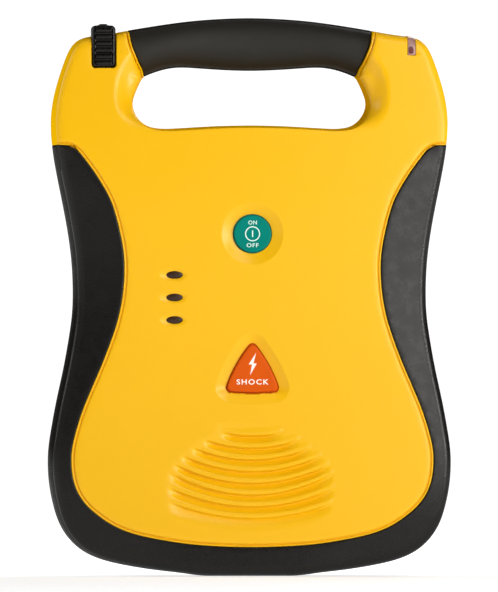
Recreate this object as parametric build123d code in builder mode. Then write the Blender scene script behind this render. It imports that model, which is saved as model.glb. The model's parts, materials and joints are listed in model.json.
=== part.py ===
from build123d import *
import os
from math import hypot, pi, cos, sin, radians, sqrt

# Portable defibrillator: two moulded case halves with rubber-like overmoulds,
# a carrying handle, push buttons, pads plug, slide-in battery and electronics.
# Frame: +X to the right, +Y to the back, +Z up, origin under the middle of the base.

os.makedirs("parts", exist_ok=True)

# ---------------------------------------------------------------- dimensions
HALF_DEPTH = 34.5            # front and back faces stand at y = -/+ this
BASE_FLAT = 22.0             # half length of the flat that the body stands on
SKIN = 2.5                   # thickness of the rubber overmould
WALL = 2.5                   # case wall under the overmould
EDGE_RADIUS = 7.0            # rounding of the outer front and back edges
GROOVE = 1.0                 # open groove between the panel and the overmould
FIT = 0.3                    # clearance round anything that moves

BUTTON_Z = 184.0             # ON/OFF button
BUTTON_R = 10.3
BUTTON_DISH_R = 16.5
BUTTON_TRAVEL = 1.2
SHOCK_LOW, SHOCK_HIGH = 98.5, 124.9      # flat side and apex of the shock button
SHOCK_HALF = 13.85
SHOCK_TRAVEL = 1.5
CAP_FACE = 34.1              # button faces stand just inside the front face

LAMP_X = -41.9
LAMP_Z = (161.9, 149.8, 137.7)
LAMP_SIZE = (9.0, 4.2)

SPEAKER_Z = 48.0
SPEAKER_R = 28.0

PLUG_X, PLUG_Y = -79.4, -15.0
PLUG_SIZE = (12.8, 16.0, 22.7)
PLUG_BOTTOM = 273.3
WINDOW_X = 86.3

BOARD_Y = -17.0              # front face of the main board
BOARD_T = 1.6

BAY_Z = (24.5, 99.5)         # clear height of the battery opening
BAY_Y = (1.8, 27.2)
BAY_LEFT = -32.8
BAY_CORNER = 2.6
BATTERY_TRAVEL = 0.150       # documented travel, metres

HOLDER_Z = (106.0, 188.0)    # pads pouch holder on the back
HOLDER_HALF = 60.0

# Right-hand outline from the base flat up to the handle grip (x, z)
SIDE = [
    (22.0, 0.0), (36.0, 1.4), (51.0, 3.2), (65.6, 5.5), (76.5, 7.9), (84.5, 10.7),
    (90.5, 14.1), (95.5, 18.5), (99.2, 23.2), (102.3, 29.0), (105.2, 38.0),
    (107.2, 48.0), (108.1, 59.2), (107.85, 67.8), (106.3, 79.0), (103.6, 93.7),
    (99.9, 110.9), (96.8, 128.1), (95.1, 141.0), (94.7, 153.9), (95.6, 171.1),
    (98.0, 188.3), (101.3, 205.5), (104.6, 222.7), (106.3, 236.5), (106.55, 244.2),
    (105.9, 252.8), (104.2, 261.4), (101.7, 270.0), (98.7, 278.6), (96.9, 282.6),
    (94.7, 285.9), (92.0, 288.2), (88.7, 289.6), (84.4, 290.4), (79.0, 291.1),
    (72.0, 292.2), (66.0, 293.3)]

# Half depth of the body at each height (z, y)
PROFILE = [(-4.0, 34.0), (0.0, 34.1), (60.0, 34.5), (120.0, 34.5), (180.0, 34.3),
           (215.0, 33.2), (245.0, 30.4), (270.0, 26.6), (294.0, 22.4), (304.0, 20.6)]

# Edge of the yellow panel against the overmould, right-hand side (x, z)
PANEL_EDGE = [
    (0.0, 15.75), (20.0, 16.3), (31.0, 17.1), (42.0, 18.5), (53.0, 20.4), (65.0, 23.3),
    (75.0, 27.5), (84.0, 33.6), (89.6, 38.8), (93.6, 44.6), (96.2, 51.4), (97.35, 60.0),
    (97.1, 68.0), (95.3, 76.5), (92.3, 86.5), (87.4, 99.0), (82.0, 111.5), (76.8, 124.8),
    (72.8, 136.8), (70.1, 149.5), (68.95, 163.5), (69.2, 172.0), (70.5, 181.0),
    (73.0, 192.0), (76.6, 202.8), (81.4, 211.6), (86.8, 219.8), (92.6, 227.4), (96.4, 232.4)]

# Handle opening, right-hand side, from the grip's end down to the lower edge (x, z)
OPENING = [(57.4, 268.2), (59.6, 264.0), (61.6, 259.3), (62.9, 254.6), (61.8, 249.0),
           (59.4, 245.3), (55.6, 242.4), (50.0, 240.9), (40.3, 240.8), (23.0, 241.8),
           (0.0, 242.4)]

GRIP_TOP = [(66.4, 293.3), (48.9, 296.2), (31.7, 298.5), (14.5, 299.8), (0.0, 300.2)]
GRIP_UNDER = [(57.4, 268.2), (50.0, 271.2), (40.5, 273.3), (28.0, 273.1), (14.0, 272.2),
              (0.0, 271.8)]

CASE_SCREWS = [(-45.0, 14.0), (45.0, 14.0), (-92.0, 62.0), (-83.0, 150.0),
               (83.0, 150.0), (-94.5, 250.0), (94.5, 250.0)]
LOW_SCREWS = [p for p in CASE_SCREWS if p[1] < 200]
HIGH_SCREWS = [p for p in CASE_SCREWS if p[1] > 200]
BOARD_SCREWS = [(-54.0, 91.0), (54.0, 91.0), (-54.0, 222.0), (54.0, 222.0)]


# ------------------------------------------------------------- shared shapes
def inset(points, distance):
    """Outline points moved inwards by distance, each along its own normal."""
    moved = []
    for i, (x, z) in enumerate(points):
        x0, z0 = points[max(i - 1, 0)]
        x1, z1 = points[min(i + 1, len(points) - 1)]
        tx, tz = x1 - x0, z1 - z0
        if i == 0:
            tx, tz = 1.0, 0.0
        n = hypot(tx, tz)
        moved.append((x - distance * tz / n, z + distance * tx / n))
    return moved


def body_outline(distance):
    """Front view of the body, moved inwards by distance."""
    side = inset(SIDE, distance)
    with BuildSketch(Plane.XZ) as sketch:
        with BuildLine():
            Line((0, side[0][1]), side[0])
            Spline(*side, tangents=((1, 0), (-6, 1.1)))
            Line(side[-1], (0, side[-1][1]))
            mirror(about=Plane.YZ)
        make_face()
    return sketch.sketch


def depth_profile(distance, sign):
    """Side view of one half of the body, moved inwards by distance."""
    points = [(sign * (y - distance), z) for z, y in PROFILE]
    with BuildSketch(Plane.YZ) as sketch:
        with BuildLine():
            Spline(*points)
            Polyline(points[-1], (0, points[-1][1]), (0, points[0][1]), points[0])
        make_face()
    return sketch.sketch


def panel_outline(distance):
    """Front view of the yellow panel, up past the top of the overmould."""
    edge = [(x, z) for x, z in PANEL_EDGE]
    moved = []
    for i, (x, z) in enumerate(edge):
        x0, z0 = edge[max(i - 1, 0)]
        x1, z1 = edge[min(i + 1, len(edge) - 1)]
        tx, tz = x1 - x0, z1 - z0
        if i == 0:
            tx, tz = 1.0, 0.0
        n = hypot(tx, tz)
        moved.append((x - distance * tz / n, z + distance * tx / n))
    top = moved[-1]
    with BuildSketch(Plane.XZ) as sketch:
        with BuildLine():
            Spline(*moved, tangents=((1, 0), (3.8, 5.0)))
            Polyline(top, (top[0], 262), (0, 262))
            mirror(about=Plane.YZ)
        make_face()
    return sketch.sketch


def skin_zone(distance, top):
    """Everything outside the panel and below the top of the overmould."""
    with BuildSketch(Plane.XZ) as sketch:
        with Locations((0, top / 2 - 10)):
            Rectangle(260, top + 20)
        add(panel_outline(distance), mode=Mode.SUBTRACT)
    return sketch.sketch


def opening_outline(grow):
    """Handle opening together with all the space the grip takes above it."""
    right = inset(OPENING, grow)
    with BuildSketch(Plane.XZ) as sketch:
        with BuildLine():
            Polyline((0, 320), (66.4 + grow, 320), (66.4 + grow, 293.3), right[0])
            Spline(*right)
            mirror(about=Plane.YZ)
        make_face()
    return sketch.sketch


def grip_outline():
    """Front view of the soft grip."""
    with BuildSketch(Plane.XZ) as sketch:
        with BuildLine():
            Spline(*GRIP_TOP, tangents=((-17, 3), (-1, 0)))
            Spline(*GRIP_UNDER, tangents=((-7, 3.4), (-1, 0)))
            Line(GRIP_TOP[0], GRIP_UNDER[0])
            mirror(about=Plane.YZ)
        make_face()
    return sketch.sketch


def core_outline():
    """Front view of the rigid bar inside the grip."""
    with BuildSketch(Plane.XZ) as sketch:
        with BuildLine():
            Line((0, 277.5), (68, 277.5))
            Line((68, 277.5), (68, 288.0))
            Spline((68, 288.0), (48, 291.6), (26, 294.2), (0, 295.2),
                   tangents=((-6, 1.1), (-1, 0)))
            mirror(about=Plane.YZ)
        make_face()
    return sketch.sketch


def shock_outline(grow):
    """Rounded triangle with bulged sides."""
    low, high = SHOCK_LOW - grow, SHOCK_HIGH + 1.6 + grow * 1.35
    half = SHOCK_HALF + 1.1 + grow * 1.25
    middle = (low + high) / 2
    with BuildSketch(Plane.XZ) as sketch:
        with BuildLine():
            ThreePointArc((-half, low + 0.9), (0, low - 0.05), (half, low + 0.9))
            ThreePointArc((half, low + 0.9), (half / 2 + 1.3, middle + 1.6), (0, high))
            ThreePointArc((0, high), (-half / 2 - 1.3, middle + 1.6), (-half, low + 0.9))
        make_face()
        fillet(sketch.vertices(), radius=2.6 + grow * 0.45)
    return sketch.sketch


# ---------------------------------------------------------- construction blanks
def blank(distance, radius, sign):
    with BuildPart() as body:
        extrude(body_outline(distance), amount=-sign * (HALF_DEPTH + 3))
        extrude(depth_profile(distance, sign), amount=130, both=True, mode=Mode.INTERSECT)
        face = body.faces().sort_by(Axis.Y)[0 if sign < 0 else -1]
        fillet(face.edges(), radius=radius)
    return body.part


front_outer = blank(0, EDGE_RADIUS, -1)
front_under = blank(SKIN, EDGE_RADIUS - SKIN, -1)
rear_outer = blank(0, EDGE_RADIUS, 1)
rear_under = blank(SKIN, EDGE_RADIUS - SKIN, 1)


def case_body(outer, under, sign):
    """Outside shape of one case half, with the handle frame and its inner bar."""
    with BuildPart() as body:
        add(outer)
        extrude(skin_zone(GROOVE, 232.6), amount=-sign * 60, mode=Mode.SUBTRACT)
        add(under)
        extrude(opening_outline(0), amount=-sign * 60, mode=Mode.SUBTRACT)
        extrude(core_outline(), amount=-sign * 11)
    return body.part


def case_cavity(sign, depth):
    """Space inside one case half, below and beside the handle opening."""
    with BuildPart() as body:
        with BuildSketch(Plane.XZ) as sketch:
            add(body_outline_local(SKIN + WALL))
            with Locations((0, 300)):
                Rectangle(136, 126, mode=Mode.SUBTRACT)
            with Locations((0, 320)):
                Rectangle(240, 100, mode=Mode.SUBTRACT)
        extrude(amount=-sign * depth)
        extrude(depth_profile(SKIN + WALL, sign), amount=130, both=True, mode=Mode.INTERSECT)
    return body.part


def body_outline_local(distance):
    side = inset(SIDE, distance)
    with BuildSketch() as sketch:
        with BuildLine():
            Line((0, side[0][1]), side[0])
            Spline(*side, tangents=((1, 0), (-6, 1.1)))
            Line(side[-1], (0, side[-1][1]))
            mirror(about=Plane.YZ)
        make_face()
    return sketch.sketch


def ring_zone(width):
    """Cavity outline grown by width, used for the sealing ring."""
    with BuildSketch(Plane.XZ) as sketch:
        add(body_outline_local(SKIN + WALL - width))
        with Locations((0, 287 + width)):
            Rectangle(2 * (68 - width), 100, mode=Mode.SUBTRACT)
        with Locations((0, 320 + width)):
            Rectangle(240, 100, mode=Mode.SUBTRACT)
    return sketch.sketch


def finish(block, name):
    """Name a finished piece and write its file."""
    block.part.label = name
    export_step(block.part, "parts/" + name + ".step")


# ------------------------------------------------------------------ front case
with BuildPart() as front_case:
    add(case_body(front_outer, front_under, -1))
    add(case_cavity(-1, 29.5), mode=Mode.SUBTRACT)
    # deeper pocket behind the panel
    with BuildSketch(Plane.XZ) as deep:
        with BuildLine():
            Spline((0, 19.5), (30, 20.5), (60, 26.0), (82, 38.0), (93, 58.0), (88, 84.0),
                   (74, 120.0), (65, 160.0), (68, 190.0), (76, 212.0), (84, 225.0))
            Polyline((84, 225.0), (84, 232.0), (0, 232.0))
            mirror(about=Plane.YZ)
        make_face()
    extrude(amount=31.0, mode=Mode.SUBTRACT)
    # screw bosses
    with BuildSketch(Plane.XZ) as bosses:
        with Locations(*LOW_SCREWS):
            Circle(4.2)
    extrude(amount=30.5)
    with BuildSketch(Plane.XZ) as high_bosses:
        with Locations(*HIGH_SCREWS):
            Circle(4.2)
    extrude(amount=26.0)
    with BuildSketch(Plane.XZ.offset(-0.5)) as pilots:
        with Locations(*CASE_SCREWS):
            Circle(1.5)
    extrude(amount=14.5, mode=Mode.SUBTRACT)
    # posts that carry the main board
    with BuildSketch(Plane.XZ.offset(-BOARD_Y)) as posts:
        with Locations(*BOARD_SCREWS):
            Circle(3.5)
    extrude(amount=15.0)
    with BuildSketch(Plane.XZ.offset(-BOARD_Y)) as post_holes:
        with Locations(*BOARD_SCREWS):
            Circle(1.3)
    extrude(amount=9.0, mode=Mode.SUBTRACT)
    # dish and bore of the ON/OFF button
    with BuildSketch(Plane.XZ.offset(HALF_DEPTH - 1.6)) as dish:
        with Locations((0, BUTTON_Z)):
            Circle(BUTTON_DISH_R - 1.5)
    extrude(amount=8, mode=Mode.SUBTRACT)
    with BuildSketch(Plane.XZ) as bore:
        with Locations((0, BUTTON_Z)):
            Circle(BUTTON_R + FIT)
    extrude(amount=40, mode=Mode.SUBTRACT)
    # dish and bore of the shock button
    extrude(shock_outline(5.0).moved(Location((0, -HALF_DEPTH + 1.5, 0))), amount=8,
            mode=Mode.SUBTRACT)
    extrude(shock_outline(FIT), amount=40, mode=Mode.SUBTRACT)
    # lamp lenses
    with BuildSketch(Plane.XZ) as lamps:
        with Locations(*[(LAMP_X, z) for z in LAMP_Z]):
            Ellipse(LAMP_SIZE[0] / 2, LAMP_SIZE[1] / 2)
    extrude(amount=40, mode=Mode.SUBTRACT)
    # sound louvres: shallow curved grooves, open through the wall over the speaker
    LOUVRES = [(16.5, 75.7, 2.0), (26.0, 69.2, 4.6), (32.0, 62.9, 6.5), (37.6, 56.6, 8.6),
               (41.6, 50.3, 10.0), (44.0, 44.0, 11.8), (44.6, 37.7, 10.2), (43.6, 31.4, 8.2)]
    with BuildSketch(Plane.XZ.offset(HALF_DEPTH - 1.0)) as grooves:
        for half, z, rise in LOUVRES:
            with BuildLine(mode=Mode.PRIVATE) as arc:
                ThreePointArc((-half, z - 3.0 + rise), (0, z - 3.0), (half, z - 3.0 + rise))
            SlotArc(arc.edges()[0], 2.0)
    extrude(amount=6, mode=Mode.SUBTRACT)
    with BuildSketch(Plane.XZ.offset(28)) as slots:
        for half, z, rise in LOUVRES[1:7]:
            reach = 0.52 * half
            with BuildLine(mode=Mode.PRIVATE) as arc:
                ThreePointArc((-reach, z - 3.0 + rise * 0.27), (0, z - 3.0),
                              (reach, z - 3.0 + rise * 0.27))
            SlotArc(arc.edges()[0], 1.6)
    extrude(amount=10, mode=Mode.SUBTRACT)
    # notch for the pads plug and the hole for its nose
    with BuildSketch(Plane.XY.offset(PLUG_BOTTOM - FIT)) as notch:
        with Locations((PLUG_X, -23.3)):
            Rectangle(PLUG_SIZE[0] + 2 * FIT, 32.0)
    extrude(amount=40, mode=Mode.SUBTRACT)
    with BuildSketch(Plane.XY.offset(262)) as nose_hole:
        with Locations((PLUG_X, PLUG_Y)):
            RectangleRounded(9.6, 8.6, 1.2)
    extrude(amount=20, mode=Mode.SUBTRACT)
    # seat of the status window with the lamp pocket behind it
    with BuildSketch(Plane.XZ.offset(14.0)) as window_seat:
        with Locations((WINDOW_X, 287.0)):
            Rectangle(4.4, 14.2)
    extrude(amount=20, mode=Mode.SUBTRACT)
    with BuildSketch(Plane.XZ.offset(7.0)) as lamp_pocket:
        with Locations((WINDOW_X, 282.6)):
            Rectangle(5.0, 5.6)
    extrude(amount=7.0, mode=Mode.SUBTRACT)
    # groove for the sealing ring, just outside the cavity
    with BuildSketch(Plane.XZ) as groove:
        add(ring_zone(1.75).moved(Location((0, 0, 0))))
        add(ring_zone(0.75), mode=Mode.SUBTRACT)
    extrude(amount=0.9, mode=Mode.SUBTRACT)
finish(front_case, "front_case")

with BuildPart() as case_gasket:
    with BuildSketch(Plane.XZ) as ring:
        add(ring_zone(1.75))
        add(ring_zone(0.75), mode=Mode.SUBTRACT)
    extrude(amount=0.9)
finish(case_gasket, "case_gasket")

# ------------------------------------------------------------------- rear case
with BuildPart() as rear_case:
    add(case_body(rear_outer, rear_under, 1))
    # cavity: shallow behind the pouch recess, deeper around it
    add(case_cavity(1, 24.3), mode=Mode.SUBTRACT)
    with BuildPart(mode=Mode.PRIVATE) as deep_cavity:
        add(case_cavity(1, 29.5))
        with BuildSketch(Plane.XZ) as keep_out:
            with Locations((0, 172)):
                Rectangle(128, 140)
        extrude(amount=-60, mode=Mode.SUBTRACT)
    add(deep_cavity.part, mode=Mode.SUBTRACT)
    # recess for the pads pouch, open at its top end
    with BuildSketch(Plane.XZ.offset(-27.0)) as recess:
        with Locations((0, 169.0)):
            RectangleRounded(2 * HOLDER_HALF, 126.0, 6.0)
    extrude(amount=-20, mode=Mode.SUBTRACT)
    # shallow seat of the label plate
    with BuildSketch(Plane.XZ.offset(-HALF_DEPTH + 0.6)) as label_seat:
        with Locations((0, 62.0)):
            RectangleRounded(90.2, 56.2, 3.1)
    extrude(amount=-4, mode=Mode.SUBTRACT)
    # bosses with deep counterbores for the case screws
    with BuildSketch(Plane.XZ) as rear_bosses:
        with Locations(*LOW_SCREWS):
            Circle(4.7)
    extrude(amount=-31.0)
    with BuildSketch(Plane.XZ) as high_rear_bosses:
        with Locations(*HIGH_SCREWS):
            Circle(4.7)
    extrude(amount=-26.0)
    with BuildSketch(Plane.XZ) as screw_holes:
        with Locations(*CASE_SCREWS):
            Circle(1.7)
    extrude(amount=-40, mode=Mode.SUBTRACT)
    with BuildSketch(Plane.XZ.offset(-4.0)) as head_holes:
        with Locations(*CASE_SCREWS):
            Circle(3.2)
    extrude(amount=-40, mode=Mode.SUBTRACT)
    # side openings: battery bay and eject button
    with BuildSketch(Plane.YZ.offset(70)) as bay_mouth:
        with Locations((sum(BAY_Y) / 2, sum(BAY_Z) / 2)):
            RectangleRounded(BAY_Y[1] - BAY_Y[0], BAY_Z[1] - BAY_Z[0], BAY_CORNER)
    extrude(amount=50, mode=Mode.SUBTRACT)
    with BuildSketch(Plane.YZ.offset(88)) as eject_mouth:
        with Locations((14.0, 108.0)):
            RectangleRounded(12.6, 9.6, 1.8)
    extrude(amount=30, mode=Mode.SUBTRACT)
    # pilot holes of the pouch holder
    with BuildSketch(Plane.XZ.offset(-24.8)) as holder_pilots:
        with GridLocations(108.0, 60.0, 2, 2):
            Circle(1.1)
    extrude(holder_pilots.sketch.moved(Location((0, 0, 147.0))), amount=-6,
            mode=Mode.SUBTRACT)
finish(rear_case, "rear_case")

# -------------------------------------------------------------- rubber overmould
with BuildPart() as front_bumper:
    add(front_outer)
    add(front_under, mode=Mode.SUBTRACT)
    extrude(skin_zone(0.0, 231.6), amount=60, mode=Mode.INTERSECT)
finish(front_bumper, "front_bumper")

with BuildPart() as rear_bumper:
    add(rear_outer)
    add(rear_under, mode=Mode.SUBTRACT)
    extrude(skin_zone(0.0, 231.6), amount=-60, mode=Mode.INTERSECT)
    with BuildSketch(Plane.XZ) as bumper_holes:
        with Locations(*LOW_SCREWS):
            Circle(3.4)
    extrude(amount=-40, mode=Mode.SUBTRACT)
    with BuildSketch(Plane.YZ.offset(70)) as bumper_bay:
        with Locations((sum(BAY_Y) / 2, sum(BAY_Z) / 2)):
            RectangleRounded(BAY_Y[1] - BAY_Y[0], BAY_Z[1] - BAY_Z[0], BAY_CORNER)
    extrude(amount=50, mode=Mode.SUBTRACT)
    with BuildSketch(Plane.YZ.offset(88)) as bumper_eject:
        with Locations((14.0, 108.0)):
            RectangleRounded(12.6, 9.6, 1.8)
    extrude(amount=30, mode=Mode.SUBTRACT)
finish(rear_bumper, "rear_bumper")

# ------------------------------------------------------------------- soft grip
with BuildPart() as grip_front:
    extrude(grip_outline(), amount=15.0)
    fillet(grip_front.faces().sort_by(Axis.Y)[0].edges().filter_by(
        lambda e: abs(e.center().X) < 45), radius=9.0)
    extrude(core_outline(), amount=11.0, mode=Mode.SUBTRACT)
finish(grip_front, "grip_front")

with BuildPart() as grip_rear:
    extrude(grip_outline(), amount=-15.0)
    fillet(grip_rear.faces().sort_by(Axis.Y)[-1].edges().filter_by(
        lambda e: abs(e.center().X) < 45), radius=9.0)
    extrude(core_outline(), amount=-11.0, mode=Mode.SUBTRACT)
finish(grip_rear, "grip_rear")

# --------------------------------------------------------------------- buttons
with BuildPart() as on_off_button:
    with BuildSketch(Plane.XZ.offset(30.9)) as cap:
        with Locations((0, BUTTON_Z)):
            Circle(BUTTON_R)
    extrude(amount=CAP_FACE - 30.9)
    fillet(on_off_button.faces().sort_by(Axis.Y)[0].edges(), radius=0.8)
    with BuildSketch(Plane.XZ.offset(29.4)) as flange:
        with Locations((0, BUTTON_Z)):
            Circle(BUTTON_R + 2.2)
    extrude(amount=1.5)
    with BuildSketch(Plane.XZ.offset(25.2 + BUTTON_TRAVEL)) as stem:
        with Locations((0, BUTTON_Z)):
            Circle(3.0)
    extrude(amount=29.4 - 25.2 - BUTTON_TRAVEL)
finish(on_off_button, "on_off_button")

with BuildPart() as on_off_seal:
    with BuildSketch(Plane.XZ.offset(27.0)) as seal:
        with Locations((0, BUTTON_Z)):
            Circle(BUTTON_R + 5.0)
            Circle(BUTTON_R + 2.6, mode=Mode.SUBTRACT)
    extrude(amount=31.0 - 27.0)
    with BuildSketch(Plane.XZ.offset(27.0)) as web:
        with Locations((0, BUTTON_Z)):
            Circle(BUTTON_R + 2.6)
            Circle(3.5, mode=Mode.SUBTRACT)
    extrude(amount=0.7)
finish(on_off_seal, "on_off_seal")

with BuildPart() as shock_button:
    extrude(shock_outline(0).moved(Location((0, -30.9, 0))), amount=CAP_FACE - 30.9)
    fillet(shock_button.faces().sort_by(Axis.Y)[0].edges(), radius=0.7)
    extrude(shock_outline(1.8).moved(Location((0, -29.4, 0))), amount=1.5)
    with BuildSketch(Plane.XZ.offset(25.2 + SHOCK_TRAVEL)) as shock_stem:
        with Locations((0, 111.0)):
            Circle(3.0)
    extrude(amount=29.4 - 25.2 - SHOCK_TRAVEL)
finish(shock_button, "shock_button")

with BuildPart() as shock_seal:
    extrude(shock_outline(4.0).moved(Location((0, -26.8, 0))), amount=31.0 - 26.8)
    extrude(shock_outline(2.2).moved(Location((0, -27.4, 0))), amount=6.0,
            mode=Mode.SUBTRACT)
    with BuildSketch(Plane.XZ.offset(26.0)) as web_hole:
        with Locations((0, 111.0)):
            Circle(3.5)
    extrude(amount=3.0, mode=Mode.SUBTRACT)
finish(shock_seal, "shock_seal")

# -------------------------------------------------------------- lamps and windows
with BuildPart() as indicator_lenses:
    with BuildSketch(Plane.XZ.offset(31.0)) as lens_bodies:
        with Locations(*[(LAMP_X, z) for z in LAMP_Z]):
            Ellipse(LAMP_SIZE[0] / 2 - 0.03, LAMP_SIZE[1] / 2 - 0.03)
    extrude(amount=2.6)
    with BuildSketch(Plane.XZ.offset(29.8)) as lens_flanges:
        with Locations(*[(LAMP_X, z) for z in LAMP_Z]):
            RectangleRounded(11.0, 6.4, 1.5)
    extrude(amount=1.2)
finish(indicator_lenses, "indicator_lenses")

with BuildPart() as indicator_leds:
    with BuildSketch(Plane.XZ.offset(-BOARD_Y)) as led_bodies:
        with Locations(*[(LAMP_X, z) for z in LAMP_Z]):
            Circle(1.6)
    extrude(amount=12.0)
    fillet(indicator_leds.faces().filter_by(Axis.Y).group_by(Axis.Y)[0].edges(), radius=1.4)
finish(indicator_leds, "indicator_leds")

with BuildPart() as status_window:
    with BuildSketch(Plane.XZ.offset(14.0)) as pane:
        with Locations((WINDOW_X, 285.1)):
            Rectangle(4.2, 10.2)
    extrude(amount=10.2)
    fillet(status_window.edges().filter_by(Axis.X).group_by(Axis.Y)[0].group_by(Axis.Z)[-1],
           radius=3.0)
finish(status_window, "status_window")

with BuildPart() as status_led:
    with BuildSketch(Plane.XZ.offset(7.0)) as led_block:
        with Locations((WINDOW_X, 282.6)):
            Rectangle(4.4, 5.0)
    extrude(amount=4.4)
    with BuildSketch(Plane.XZ.offset(11.4)) as led_dome:
        with Locations((WINDOW_X, 282.6)):
            Circle(1.8)
    extrude(amount=2.2)
finish(status_led, "status_led")

# --------------------------------------------------------------------- speaker
with BuildPart() as speaker_mesh:
    with BuildSketch(Plane.XZ.offset(30.6)) as mesh_disc:
        with Locations((0, SPEAKER_Z)):
            Circle(SPEAKER_R - 0.5)
    extrude(amount=0.4)
finish(speaker_mesh, "speaker_mesh")

with BuildPart() as speaker_gasket:
    with BuildSketch(Plane.XZ.offset(29.6)) as gasket_ring:
        with Locations((0, SPEAKER_Z)):
            Circle(SPEAKER_R)
            Circle(SPEAKER_R - 4.0, mode=Mode.SUBTRACT)
    extrude(amount=1.0)
finish(speaker_gasket, "speaker_gasket")

speaker_axis = Plane(origin=(0, 0, SPEAKER_Z), x_dir=(1, 0, 0), z_dir=(0, 0, 1))
with BuildPart() as speaker_frame:
    with BuildSketch(speaker_axis) as basket:
        with BuildLine():
            Polyline((24.0, -29.6), (SPEAKER_R, -29.6), (SPEAKER_R, -27.6), (24.6, -27.6), (15.0, -17.2),
                     (9.0, -17.2), (9.0, -18.4), (14.4, -18.4), (24.0, -28.8), (24.0, -29.6))
        make_face()
    revolve(axis=Axis((0, 0, SPEAKER_Z), (0, 1, 0)))
    with BuildSketch(Plane.XZ.offset(16)) as windows:
        with Locations((0, SPEAKER_Z)):
            with PolarLocations(19.0, 4, start_angle=45):
                RectangleRounded(6.0, 9.0, 1.0)
    extrude(amount=11.0, mode=Mode.SUBTRACT)
finish(speaker_frame, "speaker_frame")

with BuildPart() as speaker_magnet:
    with BuildSketch(Plane.XZ.offset(7.6)) as magnet_disc:
        with Locations((0, SPEAKER_Z)):
            Circle(14.5)
    extrude(amount=9.6)
    chamfer(speaker_magnet.edges().filter_by(GeomType.CIRCLE), length=0.6)
finish(speaker_magnet, "speaker_magnet")

with BuildPart() as speaker_cone:
    with BuildSketch(speaker_axis) as cone:
        with BuildLine():
            Polyline((0.0, -21.9), (5.0, -21.0), (8.0, -20.0), (9.2, -20.4), (22.6, -29.0),
                     (23.6, -29.0), (23.6, -28.5), (22.8, -28.5), (9.4, -19.7), (8.0, -19.2),
                     (5.0, -20.4), (0.0, -21.3), (0.0, -21.9))
        make_face()
    revolve(axis=Axis((0, 0, SPEAKER_Z), (0, 1, 0)))
finish(speaker_cone, "speaker_cone")

# ------------------------------------------------------------------ main board
with BuildPart() as main_board:
    with BuildSketch(Plane.XZ.offset(-BOARD_Y - BOARD_T)) as board:
        with Locations((0, 157.0)):
            RectangleRounded(122.0, 146.0, 3.0)
        with Locations(*BOARD_SCREWS):
            Circle(1.5, mode=Mode.SUBTRACT)
    extrude(amount=BOARD_T)
finish(main_board, "main_board")

with BuildPart() as board_screws:
    with BuildSketch(Plane.XZ.offset(-BOARD_Y - BOARD_T - 2.0)) as screw_heads:
        with Locations(*BOARD_SCREWS):
            Circle(2.6)
    extrude(amount=2.0)
    with BuildSketch(Plane.XZ.offset(-BOARD_Y - BOARD_T)) as screw_shanks:
        with Locations(*BOARD_SCREWS):
            Circle(1.2)
    extrude(amount=9.0)
finish(board_screws, "board_screws")

with BuildPart() as tact_switches:
    with BuildSketch(Plane.XZ.offset(-BOARD_Y)) as switch_bases:
        with Locations((0, BUTTON_Z), (0, 111.0)):
            RectangleRounded(12.0, 12.0, 1.0)
    extrude(amount=4.0)
    with BuildSketch(Plane.XZ.offset(-BOARD_Y + 4.0)) as plungers:
        with Locations((0, BUTTON_Z), (0, 111.0)):
            Circle(3.2)
    extrude(amount=4.0)
finish(tact_switches, "tact_switches")

REAR_FACE = -BOARD_Y - BOARD_T           # back face of the board, measured towards the front

with BuildPart() as chips:
    with BuildSketch(Plane.XZ.offset(REAR_FACE - 1.6)) as chip_bodies:
        with Locations((-38.0, 205.0), (-12.0, 205.0), (-38.0, 186.0)):
            Rectangle(14.0, 14.0)
        with Locations((10.0, 207.0), (10.0, 195.0)):
            Rectangle(10.0, 5.0)
    extrude(amount=1.6)
finish(chips, "chips")

with BuildPart() as board_connectors:
    with BuildSketch(Plane.XZ.offset(REAR_FACE - 6.0)) as headers:
        with Locations((-30.0, 90.0), (0.0, 90.0), (30.0, 90.0)):
            Rectangle(16.0, 6.0)
    extrude(amount=6.0)
    with BuildSketch(Plane.XZ.offset(REAR_FACE - 6.0)) as header_mouths:
        with Locations((-30.0, 90.0), (0.0, 90.0), (30.0, 90.0)):
            Rectangle(13.6, 3.6)
    extrude(amount=4.6, mode=Mode.SUBTRACT)
finish(board_connectors, "board_connectors")

with BuildPart() as backup_cell:
    with BuildSketch(Plane.XZ.offset(REAR_FACE - 3.2)) as coin:
        with Locations((40.0, 203.0)):
            Circle(10.0)
    extrude(amount=3.2)
    fillet(backup_cell.edges().filter_by(GeomType.CIRCLE).sort_by(Axis.Y)[-1], radius=0.5)
finish(backup_cell, "backup_cell")

with BuildPart() as high_voltage_capacitor:
    with BuildSketch(Plane.YZ.offset(-52.0)) as can:
        with Locations((5.0, 123.0)):
            Circle(17.0)
    extrude(amount=80.0)
    fillet(high_voltage_capacitor.edges().filter_by(GeomType.CIRCLE), radius=1.5)
    with BuildSketch(Plane.YZ.offset(28.0)) as can_terminals:
        with Locations((0.0, 123.0), (10.0, 123.0)):
            Circle(2.2)
    extrude(amount=4.0)
finish(high_voltage_capacitor, "high_voltage_capacitor")

with BuildPart() as capacitor_clamp:
    with BuildSketch(Plane.YZ.offset(-18.0)) as strap:
        with Locations((5.0, 123.0)):
            Circle(18.3)
        with Locations((-12.0, 123.0)):
            Rectangle(6.8, 12.0)
        with Locations((5.0, 123.0)):
            Circle(17.02, mode=Mode.SUBTRACT)
    extrude(amount=10.0)
finish(capacitor_clamp, "capacitor_clamp")

with BuildPart() as transformer_core:
    with BuildSketch(Plane.XZ.offset(REAR_FACE - 22.0)) as core_plates:
        with Locations((48.0, 124.0)):
            Rectangle(26.0, 28.0)
            with GridLocations(15.5, 28.0, 2, 1):
                Rectangle(6.5, 19.0, mode=Mode.SUBTRACT)
    extrude(amount=22.0)
finish(transformer_core, "transformer_core")

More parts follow.
